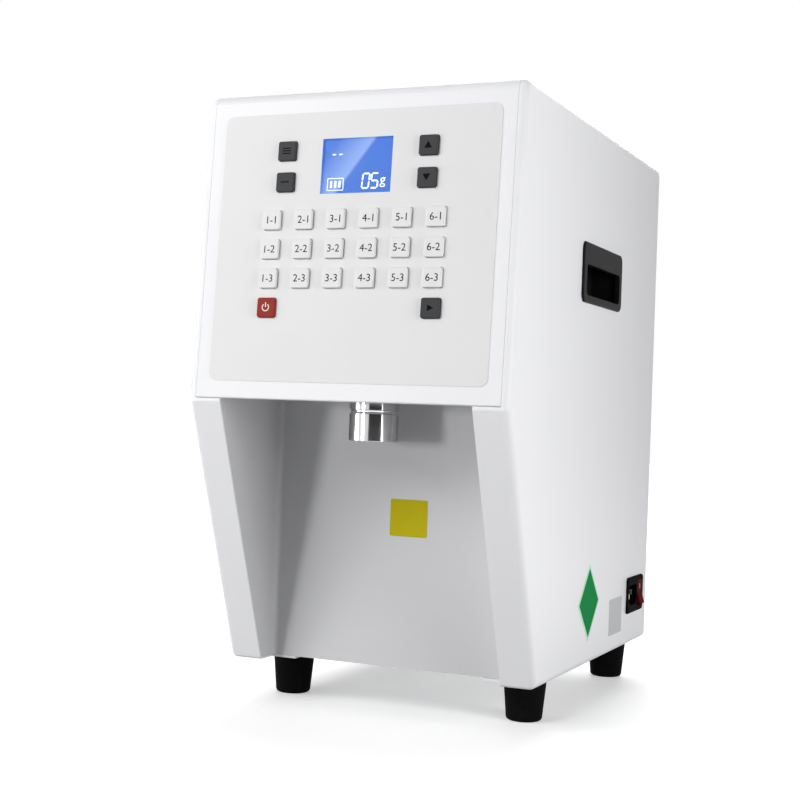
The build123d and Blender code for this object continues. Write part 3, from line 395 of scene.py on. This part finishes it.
def circuitBoard(coord):
    # copper pads under the mask: diamonds, where the steps from a point along the axes add up to little
    pad = cells(coord, "Distance", boardPlan["scale"], "MANHATTAN") < boardPlan["pad"]
    return {
        "Base Color": tint(pad, *boardPlan["colours"]),
        "Roughness": ranged(pad, *boardPlan["rough"]),
        "Normal": bump(pad, *boardPlan["bump"]),
    }


nylonPlan = {
    "colours": ((0.78, 0.77, 0.73), (0.86, 0.855, 0.82)),
    "cloud": (45.0, 2.0), "skin": (1200.0, 1.0), "rough": (0.42, 0.1), "bump": (0.12, 0.00006),
}


def nylon(coord):
    cloud = noise(coord, *nylonPlan["cloud"])
    return {
        "Base Color": tint(cloud, *nylonPlan["colours"]),
        "Roughness": ranged(cloud, *nylonPlan["rough"]),
        "Normal": bump(noise(coord, *nylonPlan["skin"]), *nylonPlan["bump"]),
    }


enamelPlan = {
    "colours": ((0.02, 0.021, 0.024), (0.045, 0.046, 0.05)),
    "cloud": (20.0, 2.0), "peel": (420.0, 1.0), "rough": (0.3, 0.12), "bump": (0.15, 0.0001),
}


def blackEnamel(coord):
    peel = noise(coord, *enamelPlan["peel"])
    return {
        "Base Color": tint(noise(coord, *enamelPlan["cloud"]), *enamelPlan["colours"]),
        "Roughness": ranged(peel, *enamelPlan["rough"]),
        "Normal": bump(peel, *enamelPlan["bump"]),
    }


casePlan = {
    "colours": ((0.58, 0.59, 0.6), (0.03, 0.03, 0.03)), "scale": 170.0, "hole": 0.3,
    "cloud": (80.0, 2.0), "rough": (0.34, 0.12), "metal": 0.95, "holeLoss": 0.9,
}


def punchedCase(coord):
    # rows of round vent holes: dark discs round the points of a regular cell pattern, painted shade where the
    # holes would be
    hole = cells(coord, "Distance", casePlan["scale"], randomness=0.0) < casePlan["hole"]
    return {
        "Base Color": tint(hole, *casePlan["colours"]),
        "Roughness": ranged(noise(coord, *casePlan["cloud"]), *casePlan["rough"]),
        "Metallic": casePlan["metal"] - hole * casePlan["holeLoss"],
    }


inkPlan = {
    "cloud": (700.0, 2.0), "roughSpan": 0.1,
    "dark": ((0.004, 0.004, 0.005), (0.009, 0.009, 0.01), 0.5),
    "pale": ((0.7, 0.7, 0.7), (0.8, 0.8, 0.8), 0.45),
    "segment": ((0.8, 0.86, 1.0), (0.88, 0.92, 1.0), 0.4),
    "label": ((0.52, 0.45, 0.006), (0.58, 0.5, 0.008), 0.4),
    "badge": ((0.004, 0.24, 0.055), (0.006, 0.28, 0.065), 0.35),
    "rim": ((0.42, 0.8, 0.58), (0.48, 0.84, 0.63), 0.4),
    "plate": ((0.5, 0.51, 0.52), (0.57, 0.58, 0.59), 0.34),
    "segmentGlow": {"Emission Color": (0.8, 0.88, 1.0, 1.0), "Emission Strength": 0.55},
}


def printInk(low, high, rough):
    def paint(coord):
        cloud = noise(coord, *inkPlan["cloud"])
        return {"Base Color": tint(cloud, low, high), "Roughness": ranged(cloud, rough, inkPlan["roughSpan"])}
    return paint


satin, matt, metal = {"Specular IOR Level": 0.3}, {"Specular IOR Level": 0.2}, {"Metallic": 1.0}
finishes = {
    "white_paint": surface("whitePowderCoat", satin, powderCoat(1.0)),
    # the bay's liner: the same white coat darkened by bayShade, painted shade in the recess
    "bayPaintedShade": surface("bayCoatPaintedShade", satin, powderCoat(paintPlan["bayShade"])),
    "overlay_grey": surface("keypadSheet", satin, printedSheet),
    "key_white": surface("paleKey", satin, satinKey(keyPlan["pale"])),
    "key_grey": surface("darkKey", {**satin, "IOR": 1.2}, satinKey(keyPlan["dark"])),
    "key_red": surface("redKey", {**satin, "IOR": 1.2}, satinKey(keyPlan["red"])),
    # the black moulding, darker than the handles' copy of the same plastic: painted shade in the inlet's recess
    "black_plastic": surface("blackMouldingPaintedShade", {**satin, "IOR": 1.03}, mouldedPlastic(mouldPlan["inlet"])),
    "handleMoulding": surface("handleMoulding", {**satin, "IOR": 1.15}, mouldedPlastic(mouldPlan["handle"])),
    "rocker_red": surface("redRocker", {**satin, "IOR": 1.03}, satinKey(keyPlan["rocker"])),
    "foot_rubber": surface("footRubber", {**matt, "IOR": 1.15}, rubberFoot),
    "steel": surface("brushedStainless", metal, brushedSteel(brushPlan["sheet"])),
    "hingeSteel": surface("hingeSteel", metal, brushedSteel(brushPlan["hinge"])),
    "polished_steel": surface("polishedStainless", metal, polishedSteel),
    "zinc_sheet": surface("galvanisedSheet", {"Metallic": 0.9}, zincSheet),
    "zinc_fastener": surface("zincScrew", metal, brushedSteel(brushPlan["screw"])),
    "contact_brass": surface("nickelContact", metal, nickelContact),
    "clear_lens": surface(
        "displayLens", {"Base Color": lensPlan["colour"], "Alpha": lensPlan["alpha"]}, clearLens
    ),
    "lcd_blue": surface("displayBacklightWithGlare", {**matt, "Emission Strength": displayPlan["glow"]}, backlightWithPaintedGlare),
    "board_green": surface("circuitBoard", {}, circuitBoard),
    "white_nylon": surface("whiteNylon", {}, nylon),
    "motor_black": surface("motorEnamel", {}, blackEnamel),
    "supply_case": surface("punchedCase", {}, punchedCase),
    "darkInk": surface("darkInk", {**matt, "IOR": 1.1}, printInk(*inkPlan["dark"])),
    "paleInk": surface("paleInk", {}, printInk(*inkPlan["pale"])),
    "segment": surface("litSegment", inkPlan["segmentGlow"], printInk(*inkPlan["segment"])),
    "labelYellow": surface("yellowLabel", {**matt, "IOR": 1.2}, printInk(*inkPlan["label"])),
    "badgeGreen": surface("greenBadge", {**matt, "IOR": 1.05}, printInk(*inkPlan["badge"])),
    "badgeRim": surface("paleRim", {}, printInk(*inkPlan["rim"])),
    "plateSilver": surface("barePlate", {**satin, "IOR": 1.25}, printInk(*inkPlan["plate"])),
}
ownFinish = {
    "bay_liner": "bayPaintedShade", "handle_left": "handleMoulding", "handle_right": "handleMoulding",
    "hinge_fixed_leaves": "hingeSteel", "hinge_moving_leaves": "hingeSteel",
}
for entry in frame["record"]["subparts"]:
    node = nodes[entry["node"]]
    node.data.materials.clear()
    node.data.materials.append(finishes[ownFinish.get(entry["node"], entry["material_slot"])])
print("finishes set:", len(finishes))


def addMesh(name, points, faces, material):
    mesh = bpy.data.meshes.new(name)
    mesh.from_pydata(np.asarray(points).tolist(), [], [list(map(int, face)) for face in faces])
    mesh.update()
    mesh.materials.append(material)
    made = bpy.data.objects.new(name, mesh)
    scene.collection.objects.link(made)
    return made


def addPiece(name, points, faces, finish, body, slotName):
    piece = addMesh(name, points, faces, finishes[finish])
    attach(piece, body)
    return piece


def meshPoints(mesh):
    flat = np.empty(len(mesh.vertices) * 3, np.float32)
    mesh.vertices.foreach_get("co", flat)
    return flat.reshape(-1, 3).astype(float)


def faceData(mesh, key, width):
    flat = np.empty(len(mesh.polygons) * width, np.float32)
    mesh.polygons.foreach_get(key, flat)
    return flat.reshape(-1, width).astype(float)


def plate(outline, thick):
    # a flat closed outline and its copy raised by the thickness, joined by a wall
    count = len(outline)
    base = np.column_stack([outline, np.zeros(count)])
    points = np.vstack([base, base + (0, 0, thick)])
    at = np.arange(count)
    after = (at + 1) % count
    walls = np.column_stack([at, after, after + count, at + count])
    return points, [at[::-1], at + count, *walls]


def joined(shapes):
    # several point-and-face sets as one, with the later faces' numbers moved on
    points, faces = [], []
    start = 0
    for shapePoints, shapeFaces in shapes:
        points.append(shapePoints)
        faces += [np.asarray(face) + start for face in shapeFaces]
        start += len(shapePoints)
    return np.vstack(points), faces


def roundedBox(width, height, corner, steps=6):
    # corner arcs of one radius round a rectangle, counter-clockwise from the right, each a quarter turn on
    turn = np.linspace(0, np.pi / 2, steps)
    arc = np.column_stack([np.cos(turn), np.sin(turn)]) * corner
    quarter = np.array([[0, 1], [-1, 0]])
    half = np.array([width / 2 - corner, height / 2 - corner])
    sides = np.array([[1, 1], [-1, 1], [-1, -1], [1, -1]])
    return np.vstack([arc @ np.linalg.matrix_power(quarter, i) + half * sides[i] for i in range(4)])


def placed(points, basis, origin):
    # columns of the basis carry the piece's own x, y and z into the frame
    return np.asarray(points) @ np.asarray(basis).T + np.asarray(origin)


# The panel's own axes: across, up the slope, and straight out of the panel
inward = np.array(next(joint["axis"] for joint in frame["joints"] if joint["child"] == "key_stop"), float)
outOfPanel = -inward / np.linalg.norm(inward)
acrossPanel = np.array([1.0, 0.0, 0.0])
upPanel = np.cross(outOfPanel, acrossPanel)
panelBasis = np.column_stack([acrossPanel, upPanel, outOfPanel])


def panelSpot(name, lift=0.0):
    # the middle of a node's box in the panel's axes, on its outer face or lifted off it
    own = meshPoints(nodes[name].data) @ panelBasis
    low, high = own.min(0), own.max(0)
    return panelBasis @ np.array([(low[0] + high[0]) / 2, (low[1] + high[1]) / 2, high[2] + lift])


# Key marks: numbers as meshes and drawn signs, each riding on its key
markPlan = {
    "number": 7.4 * mm, "curve": 3, "thick": 0.06 * mm, "sink": 0.02 * mm, "triangle": 2.76 * mm,
    "up": [[-1, -0.8], [1, -0.8], [0, 0.9]], "down": [[-1, 0.8], [0, -0.9], [1, 0.8]],
    "play": [[-0.7, -0.8], [0.9, 0], [-0.7, 0.8]],
    "menu": (6.44 * mm, 0.77 * mm), "menuSteps": (-1.76 * mm, 0, 1.76 * mm), "dash": (6.44 * mm, 0.88 * mm),
    "powerRing": (2.852 * mm, 2.116 * mm, 125, 415), "powerBar": (0.77 * mm, 3.22 * mm, 0, 1.932 * mm),
}


def textShape(words, size, thick):
    # words as a closed mesh, centred on its own box
    curve = bpy.data.curves.new("keyWords", "FONT")
    curve.body, curve.size, curve.extrude = words, size, thick / 2
    curve.align_x, curve.align_y, curve.resolution_u = "CENTER", "CENTER", markPlan["curve"]
    holder = bpy.data.objects.new("keyWords", curve)
    scene.collection.objects.link(holder)
    bpy.context.view_layer.update()
    mesh = bpy.data.meshes.new_from_object(holder.evaluated_get(bpy.context.evaluated_depsgraph_get()))
    points = meshPoints(mesh)
    points[:, :2] -= (points[:, :2].min(0) + points[:, :2].max(0)) / 2
    faces = [list(polygon.vertices) for polygon in mesh.polygons]
    bpy.data.objects.remove(holder)
    bpy.data.curves.remove(curve)
    bpy.data.meshes.remove(mesh)
    return points, faces


def triangle(outline):
    # three corners, given in half sizes, raised to a plate
    return plate(np.array(outline) * markPlan["triangle"], markPlan["thick"])


def barShape(width, height, x=0, y=0):
    # a rectangle about a point, raised to a plate
    corners = np.array([[-1, -1], [1, -1], [1, 1], [-1, 1]])
    points, faces = plate(corners * (width / 2, height / 2), markPlan["thick"])
    return points + (x, y, 0), faces


def ringShape(outer, inner, start, end, steps=28):
    # a ring sector: an outer arc and the inner arc back again, whose ends meet over a full turn
    turn = np.radians(np.linspace(start, end, steps))
    arc = np.column_stack([np.cos(turn), np.sin(turn)])
    return plate(np.vstack([arc * outer, arc[::-1] * inner]), markPlan["thick"])


def makeMarks(plan):
    # signs on the command keys, and on each other key its column and row
    menu = joined([barShape(*plan["menu"], 0, step) for step in plan["menuSteps"]])
    power = joined([ringShape(*plan["powerRing"]), barShape(*plan["powerBar"])])
    signs = {
        "key_up": (triangle(plan["up"]), "darkInk"), "key_down": (triangle(plan["down"]), "darkInk"),
        "key_start": (triangle(plan["play"]), "darkInk"), "key_mode": (menu, "darkInk"),
        "key_set": (barShape(*plan["dash"]), "darkInk"), "key_stop": (power, "paleInk"),
    }
    numberKeys = [name for name in nodes if name.startswith("key_") and name not in signs]
    for name in numberKeys:
        words = name.removeprefix("key_").replace("_", "-")  # column and row, as the node is named
        signs[name] = (textShape(words, plan["number"], plan["thick"]), "darkInk")
    for name, ((points, faces), ink) in signs.items():
        spot = panelSpot(name, plan["thick"] / 2 - plan["sink"])
        addPiece(f"mark_{name}", placed(points, panelBasis, spot), faces, ink, name, "key_grey")
    print("key marks made:", len(signs))


makeMarks(markPlan)

# Display figures on the module's face, seen through the lens: sizes in millimetres from the middle.
# A bit is a width, a height, a corner and the corner's steps.
figurePlan = {
    "digit": (5.0, 10.0), "stroke": 1.15, "slant": 0.08, "gap": 0.18, "lift": 0.1,
    "digits": {(6.9, -10.6): "0", (13.5, -10.6): "5"}, "lit": {"0": "abcdef", "5": "acdfg"},
    "unit": (19.6, -12.0, 9.88), "dash": (2.6, 0.9, 0.2, 3), "dashes": ((-18.2, 8.4), (-13.2, 8.4)),
    "box": (-16.0, -12.4, 12.0, 8.2), "line": 0.5, "lineEnd": (0.1, 2),
    "bar": (1.5, 4.6, 0.2, 3), "barSteps": (-3.2, 0, 3.2),
}


def segmentStroke(start, end, width, gap):
    # a six-sided stroke between two points with mitred ends, counter-clockwise
    start, end = np.array(start, float), np.array(end, float)
    along = (end - start) / np.linalg.norm(end - start)
    side = np.array([-along[1], along[0]]) * width / 2
    tip = along * width / 2
    start, end = start + along * gap, end - along * gap
    return np.array([start, start + tip - side, end - tip - side, end, end - tip + side, start + tip + side])


def sevenSegment(figure, x, y, plan):
    # strokes between the corners of two stacked squares, slanted sideways in step with height
    w, h = plan["digit"][0] / 2, plan["digit"][1] / 2
    ends = {
        "a": ((-w, h), (w, h)), "b": ((w, h), (w, 0)), "c": ((w, 0), (w, -h)), "d": ((-w, -h), (w, -h)),
        "e": ((-w, 0), (-w, -h)), "f": ((-w, h), (-w, 0)), "g": ((-w, 0), (w, 0)),
    }
    strokes = []
    for letter in plan["lit"][figure]:
        outline = segmentStroke(*ends[letter], plan["stroke"], plan["gap"])
        outline[:, 0] += outline[:, 1] * plan["slant"]
        strokes.append(plate((outline + (x, y)) * mm, plan["lift"] * mm))
    return strokes


def makeFigures(plan):
    # lit digits, two dashes, a gauge box with three bars, and the unit's letter
    thick = plan["lift"] * mm

    def bitAt(x, y, width, height, corner, steps):
        points, faces = plate(roundedBox(width * mm, height * mm, corner * mm, steps), thick)
        return points + (x * mm, y * mm, 0), faces

    shapes = []
    for (x, y), figure in plan["digits"].items():
        shapes += sevenSegment(figure, x, y, plan)
    shapes += [bitAt(x, y, *plan["dash"]) for x, y in plan["dashes"]]
    x, y, width, height = plan["box"]
    line, lineEnd = plan["line"], plan["lineEnd"]
    shapes += [bitAt(x, y + side * height / 2, width, line, *lineEnd) for side in (1, -1)]
    shapes += [bitAt(x + side * width / 2, y, line, height, *lineEnd) for side in (1, -1)]
    shapes += [bitAt(x + step, y, *plan["bar"]) for step in plan["barSteps"]]
    x, y, size = plan["unit"]
    points, faces = textShape("g", size * mm, thick)
    shapes.append((points + (x * mm, y * mm, thick / 2), faces))
    points, faces = joined(shapes)
    spot = panelSpot("lcd_module")
    addPiece("display_figures", placed(points, panelBasis, spot), faces, "segment", "cabinet", "lcd_blue")


makeFigures(figurePlan)
print("display figures made")

# Stickers: plain coloured shapes, millimetres in the face's own axes, with a middle, a size and a corner
stickerPlan = {
    "thick": 0.15 * mm, "lift": 0.7, "linerSheet": 1.5 * mm,
    "badge": (8.5, 79.5, 28.6, 29.6), "rim": 3.4,
    "plate": (86.0, 61.0, 37.0, 29.0, 1.5), "label": (13.3, 142.5, 29.4, 27.0, 1.2),
}


def makeStickers(plan):
    # a rimmed diamond and a bare plate on the right side, and a label on the bay's back wall
    sideBasis = np.column_stack([[0, 1, 0], [0, 0, 1], [1, 0, 0]])
    bayBasis = np.column_stack([[1, 0, 0], [0, 0, 1], [0, -1, 0]])
    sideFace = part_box("side_panel_right")[1].x
    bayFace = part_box("bay_liner")[1].y - plan["linerSheet"]

    def stick(name, outline, basis, spot, finish):
        points, faces = plate(outline * mm, plan["thick"])
        addPiece(name, placed(points, basis, spot), faces, finish, "cabinet", "overlay_grey")

    y, z, halfWidth, halfHeight = plan["badge"]
    diamond = np.array([[halfWidth, 0], [0, halfHeight], [-halfWidth, 0], [0, -halfHeight]])
    stick("badge_rim", diamond, sideBasis, (sideFace, y * mm, z * mm), "badgeRim")
    # the field starts below the rim's top and ends above it, so that no two faces share a plane
    field = diamond * (1 - plan["rim"] / halfWidth)
    fieldFace = sideFace + plan["thick"] * plan["lift"]
    stick("badge_green", field, sideBasis, (fieldFace, y * mm, z * mm), "badgeGreen")
    y, z, *size = plan["plate"]
    stick("bare_plate", roundedBox(*size), sideBasis, (sideFace, y * mm, z * mm), "plateSilver")
    x, z, *size = plan["label"]
    stick("bay_label", roundedBox(*size), bayBasis, (x * mm, bayFace, z * mm), "labelYellow")


makeStickers(stickerPlan)
print("stickers made")

# Turned spout, cross-recess screws and switch marks, from the boxes of the CAD nodes they stand on
sharpAngle = 30


def gridFaces(rows, columns):
    # quads of a grid of rows whose last column joins the first
    row, column = np.meshgrid(np.arange(rows - 1), np.arange(columns), indexing="ij")
    here, above = row * columns, (row + 1) * columns
    after = (column + 1) % columns
    return np.stack([here + column, here + after, above + after, above + column], -1).reshape(-1, 4)


def turned(profile, segments):
    # radius and height of a profile spun once round the z axis
    radius, height = np.asarray(profile, float).T
    turn = np.linspace(0, 2 * np.pi, segments, endpoint=False)
    x, y = radius[:, None] * np.cos(turn), radius[:, None] * np.sin(turn)
    points = np.stack([x, y, np.broadcast_to(height[:, None], x.shape)], -1).reshape(-1, 3)
    return points, gridFaces(len(radius), segments)


def smoothed(piece):
    # round faces shaded as one, with edges over the sharp angle kept
    piece.data.polygons.foreach_set("use_smooth", [True] * len(piece.data.polygons))
    piece.data.set_sharp_from_angle(angle=np.radians(sharpAngle))


spoutPlan = {
    "segments": 128, "wall": 1.5 * mm, "edge": 0.4 * mm, "lip": 3.0 * mm, "collar": 4.5 * mm,
    "groove": 1.0 * mm, "grooveWidth": 3.0 * mm, "grooveSteps": 9,
}


def makeSpout(plan):
    # a tube's closed profile, with a chamfered mouth and a half-round groove below the collar
    low, high = (np.array(corner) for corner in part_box("spout"))
    radius, tall = (high[0] - low[0]) / 2, high[2] - low[2]
    bore, edge = radius - plan["wall"], plan["edge"]
    # the collar is measured from the front panel's lip, which lies two sheets below the deck's top
    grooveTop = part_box("inner_deck")[1].z - low[2] - plan["lip"] - plan["collar"]
    sweep = np.linspace(0, np.pi, plan["grooveSteps"])
    grooveRadius = radius - plan["groove"] * np.sin(sweep)
    grooveHeight = grooveTop - plan["grooveWidth"] * (1 + np.cos(sweep)) / 2
    groove = np.column_stack([grooveRadius, grooveHeight])
    inside, mouth = [(bore, tall), (bore, 0)], [(radius - edge, 0), (radius, edge)]
    profile = [*inside, *mouth, *groove, (radius, tall), (bore, tall)]
    points, faces = turned(profile, plan["segments"])
    middle = ((low[0] + high[0]) / 2, (low[1] + high[1]) / 2, low[2])
    piece = addPiece("turned_spout", points + middle, faces, "polished_steel", "cabinet", "polished_steel")
    smoothed(piece)
    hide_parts("spout")


screwPlan = {
    "rings": 22, "segments": 96, "tip": 0.04, "rim": 0.55, "gap": 15 * mm, "slack": 0.01 * mm,
    "slotLength": 0.62, "slotWidth": 0.17, "slotDepth": 0.55, "soft": 0.06,
}


def screwHead(radius, height, plan):
    # a low dome on a rim, rising by the root of one minus the radius squared, sunk where a cross crosses it
    ring = np.linspace(1, plan["tip"], plan["rings"])
    turn = np.linspace(0, 2 * np.pi, plan["segments"], endpoint=False)
    x, y = ring[:, None] * np.cos(turn), ring[:, None] * np.sin(turn)
    dome = plan["rim"] + (1 - plan["rim"]) * np.sqrt(1 - np.clip(x**2 + y**2, 0, 1))
    near, far = np.minimum(abs(x), abs(y)), np.maximum(abs(x), abs(y))
    inside = np.clip((plan["slotWidth"] - near) / plan["soft"], 0, 1)
    inside = inside * np.clip((plan["slotLength"] - far) / plan["soft"], 0, 1)
    rise = dome - inside * plan["slotDepth"]
    top = np.stack([x * radius, y * radius, rise * height], -1)
    foot = np.stack([x[:1] * radius, y[:1] * radius, np.zeros_like(x[:1])], -1)
    points = np.concatenate([foot, top]).reshape(-1, 3)
    seat = np.arange(plan["segments"])
    tip = seat + plan["rings"] * plan["segments"]
    return points, [*gridFaces(plan["rings"] + 1, plan["segments"]), tip, seat[::-1]]


def clusters(points, gap):
    # points parted wherever a sorted coordinate jumps by more than the gap, one group per screw
    labels = np.zeros(points.shape, int)
    for axis in range(3):
        order = np.argsort(points[:, axis])
        labels[order[1:], axis] = np.cumsum(np.diff(points[order, axis]) > gap)
    keys = np.unique(labels, axis=0, return_inverse=True)[1].ravel()
    return [points[keys == key] for key in range(keys.max() + 1)]


def makeScrews(plan):
    # heads on the rear flange face backward, and heads in the feet face down
    points = meshPoints(nodes["cabinet_screws"].data)
    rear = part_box("side_panel_right")[1].y
    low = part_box("cabinet_screws")[0].z
    reach = 2 * (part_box("cabinet_screws")[1].y - rear)  # a foot screw's head is about twice a cover screw's
    backward = np.column_stack([[-1, 0, 0], [0, 0, 1], [0, 1, 0]])
    downward = np.column_stack([[1, 0, 0], [0, -1, 0], [0, 0, -1]])
    shapes = []
    for group in clusters(points[points[:, 1] > rear - plan["slack"]], plan["gap"]):
        across, tall, _ = np.ptp(group, axis=0)
        head, faces = screwHead(across / 2, tall, plan)
        spot = (group.min(0) + group.max(0)) / 2
        shapes.append((placed(head, backward, (spot[0], rear, spot[2])), faces))
    for group in clusters(points[points[:, 2] < low + reach], plan["gap"]):
        across, _, tall = np.ptp(group, axis=0)
        head, faces = screwHead(across / 2, tall, plan)
        spot = (group.min(0) + group.max(0)) / 2
        shapes.append((placed(head, downward, (spot[0], spot[1], low + tall)), faces))
    piece = addPiece("cross_screws", *joined(shapes), "zinc_fastener", "cabinet", "zinc_fastener")
    smoothed(piece)
    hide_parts("cabinet_screws")


leafScrew = {
    "radius": 2.9 * mm, "height": 0.5 * mm, "across": 13.0 * mm, "behind": 10.5 * mm, "leaf": 1.2 * mm,
}


def makeHingeScrews(plan, own):
    # a pair on each fixed leaf, either side of its middle and behind the pin
    leaves = meshPoints(nodes["hinge_fixed_leaves"].data)
    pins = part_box("hinge_pins")
    axis = (pins[0].y + pins[1].y) / 2
    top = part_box("hinge_fixed_leaves")[0].z + own["leaf"]
    head, faces = screwHead(own["radius"], own["height"], plan)
    shapes = []
    for side in (-1, 1):
        leaf = leaves[leaves[:, 0] * side > 0, 0]
        middle = (leaf.min() + leaf.max()) / 2
        for step in (-1, 1):
            shapes.append((head + (middle + step * own["across"], axis + own["behind"], top), faces))
    smoothed(addPiece("hinge_screws", *joined(shapes), "zinc_fastener", "cabinet", "zinc_fastener"))


rockerMark = {
    "bar": (0.9 * mm, 4.4 * mm), "ring": (2.3 * mm, 1.58 * mm, 0, 360, 48), "sink": 0.02 * mm, "facing": 0.8,
}


def makeRockerMarks(plan):
    # the paddle's two faces, above and below its middle: their mean normals carry a bar and a ring
    mesh = nodes["power_rocker"].data
    normals, centres = faceData(mesh, "normal", 3), faceData(mesh, "center", 3)
    areas = faceData(mesh, "area", 1)
    low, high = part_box("power_rocker")
    middle = (low.z + high.z) / 2
    marks = {"mark_on": (1, barShape(*plan["bar"])), "mark_off": (-1, ringShape(*plan["ring"]))}
    for name, (side, (points, faces)) in marks.items():
        own = (normals[:, 0] > plan["facing"]) & ((centres[:, 2] - middle) * side > 0)
        share = areas[own] / areas[own].sum()
        normal = (normals[own] * share).sum(0)
        centre = (centres[own] * share).sum(0)
        across = np.cross([0, 0, 1], normal)
        across /= np.linalg.norm(across)
        basis = np.column_stack([across, np.cross(normal, across), normal])
        spot = centre - normal * plan["sink"]
        addPiece(name, placed(points, basis, spot), faces, "paleInk", "rocker", "rocker_red")


makeSpout(spoutPlan)
makeScrews(screwPlan)
makeHingeScrews(screwPlan, leafScrew)
makeRockerMarks(rockerMark)
print("spout, screws and switch marks made")

# Stage: pale floor, white surround, dark card and soft lamps, with sizes in metres, watts and degrees


def seenDirect(wire):
    # 1 for rays that come from the camera, or by way of gloss or glass
    path = wire.tree.nodes.new("ShaderNodeLightPath")
    names = ("Is Camera Ray", "Is Glossy Ray", "Is Transmission Ray")
    camera, glossy, through = (Wire(wire.tree, path.outputs[name]) for name in names)
    total = camera + glossy + through
    return total.maths("MINIMUM", total, 1.0)


floorPlan = {
    "size": 14.0, "albedo": 0.24, "seenAlbedo": 0.84, "rough": 0.6, "mottle": (3.0, 2.0),
    "mottleSpan": (0.98, 0.04), "near": 0.2, "far": 0.52, "nearLift": 0.36, "farLift": 1.05,
}


def makeFloor(plan):
    def paleFloor(coord):
        # dull to the light that bounces on, pale to the eye, and paler away from the middle
        seen = seenDirect(coord)
        grey = plan["albedo"] + seen * (plan["seenAlbedo"] - plan["albedo"])
        away = coord.node("ShaderNodeVectorMath", {"operation": "LENGTH"}, {0: coord}, "Value")
        fade = coord.node(
            "ShaderNodeMapRange", {"interpolation_type": "SMOOTHSTEP"},
            {0: away, 1: plan["near"], 2: plan["far"], 3: plan["nearLift"], 4: plan["farLift"]},
        )
        mottle = ranged(noise(coord, *plan["mottle"]), *plan["mottleSpan"])
        return {"Emission Color": seen * fade, "Base Color": grey * mottle}

    half = plan["size"] / 2
    corners = [(-half, -half, 0), (half, -half, 0), (half, half, 0), (-half, half, 0)]
    finish = surface("paleFloor", {"Roughness": plan["rough"], "Emission Strength": 1.0}, paleFloor)
    floor = addMesh("floor", corners, [(0, 1, 2, 3)], finish)


worldPlan = {"colour": (1, 1, 1, 1), "ambient": 0.12}


def makeWorld(plan):
    # white to the eye and in reflections, and a weak even light otherwise
    world = bpy.data.worlds.new("studio")
    scene.world = world
    world.use_nodes = True
    back = world.node_tree.nodes["Background"]
    start = Wire(world.node_tree, back.outputs[0])
    strength = ranged(seenDirect(start), plan["ambient"], 1 - plan["ambient"])
    back.inputs["Color"].default_value = plan["colour"]
    world.node_tree.links.new(strength.socket, back.inputs["Strength"])


cardPlan = {
    "away": 2.2, "left": -0.95, "right": 2.0, "low": 0.05, "high": 1.5,
    "shade": 0.012, "paler": 0.0144, "rough": 0.9,
}


def makeCard(plan):
    # dark card behind the camera, which polished metal shows as its dark band
    yaw = np.radians(cameraPlan["yaw"])
    away = np.array([np.sin(yaw), -np.cos(yaw)]) * plan["away"]
    along = np.array([np.cos(yaw), np.sin(yaw)])
    left, right = away + along * plan["left"], away + along * plan["right"]
    low, high = plan["low"], plan["high"]
    corners = [(*left, low), (*right, low), (*right, high), (*left, high)]
    paint = printInk((plan["shade"],) * 3, (plan["paler"],) * 3, plan["rough"])
    finish = surface("darkCard", {"Specular IOR Level": 0.0}, paint)
    card = addMesh("darkCard", corners, [(0, 1, 2, 3)], finish)
    card.visible_camera = False  # a studio flag: only reflections show it


lampPlan = {
    "mainLamp": {
        "place": (-1.11, -1.59, 1.28), "aim": (0.0, -0.1, 0.25), "size": 0.8, "power": 21.6, "spread": 180,
    },
    "wideLamp": {
        "place": (-1.87, -1.17, 0.35), "aim": (0.0, -0.1, 0.22), "size": 0.7, "power": 11.0, "spread": 180,
    },
    "levelLamp": {
        "place": (-0.88, -1.87, 0.25), "aim": (0.0, -0.1, 0.22), "size": 0.25, "power": 8.2, "spread": 180,
    },
    "sideLamp": {
        "place": (1.05, -0.42, 0.36), "aim": (0.12, -0.42, 0.24), "size": 0.6, "power": 4.15, "spread": 120,
    },
    "topLamp": {
        "place": (0.0, 0.3, 2.1), "aim": (0.0, 0.0, 0.3), "size": 1.6, "power": 3.0, "spread": 180,
    },
    "rearLamp": {
        "place": (-0.35, 1.75, 1.35), "aim": (0.0, 0.1, 0.3), "size": 1.3, "power": 27.0, "spread": 180,
    },
}


def makeLamps(plan):
    # square lamps, each turned so that its back points from the aim to its place
    for name, lamp in plan.items():
        data = bpy.data.lights.new(name, "AREA")
        data.size, data.energy = lamp["size"], lamp["power"]
        data.spread = np.radians(lamp["spread"])
        holder = bpy.data.objects.new(name, data)
        place, aim = np.array(lamp["place"]), np.array(lamp["aim"])
        back = (place - aim) / np.linalg.norm(place - aim)
        side = np.cross([0, 0, 1], back)
        side /= np.linalg.norm(side)
        holder.matrix_world = poseOf(side, np.cross(back, side), back, place)
        scene.collection.objects.link(holder)


makeFloor(floorPlan)
makeWorld(worldPlan)
makeCard(cardPlan)
makeLamps(lampPlan)
scene.view_settings.view_transform = "Standard"
print("stage set")
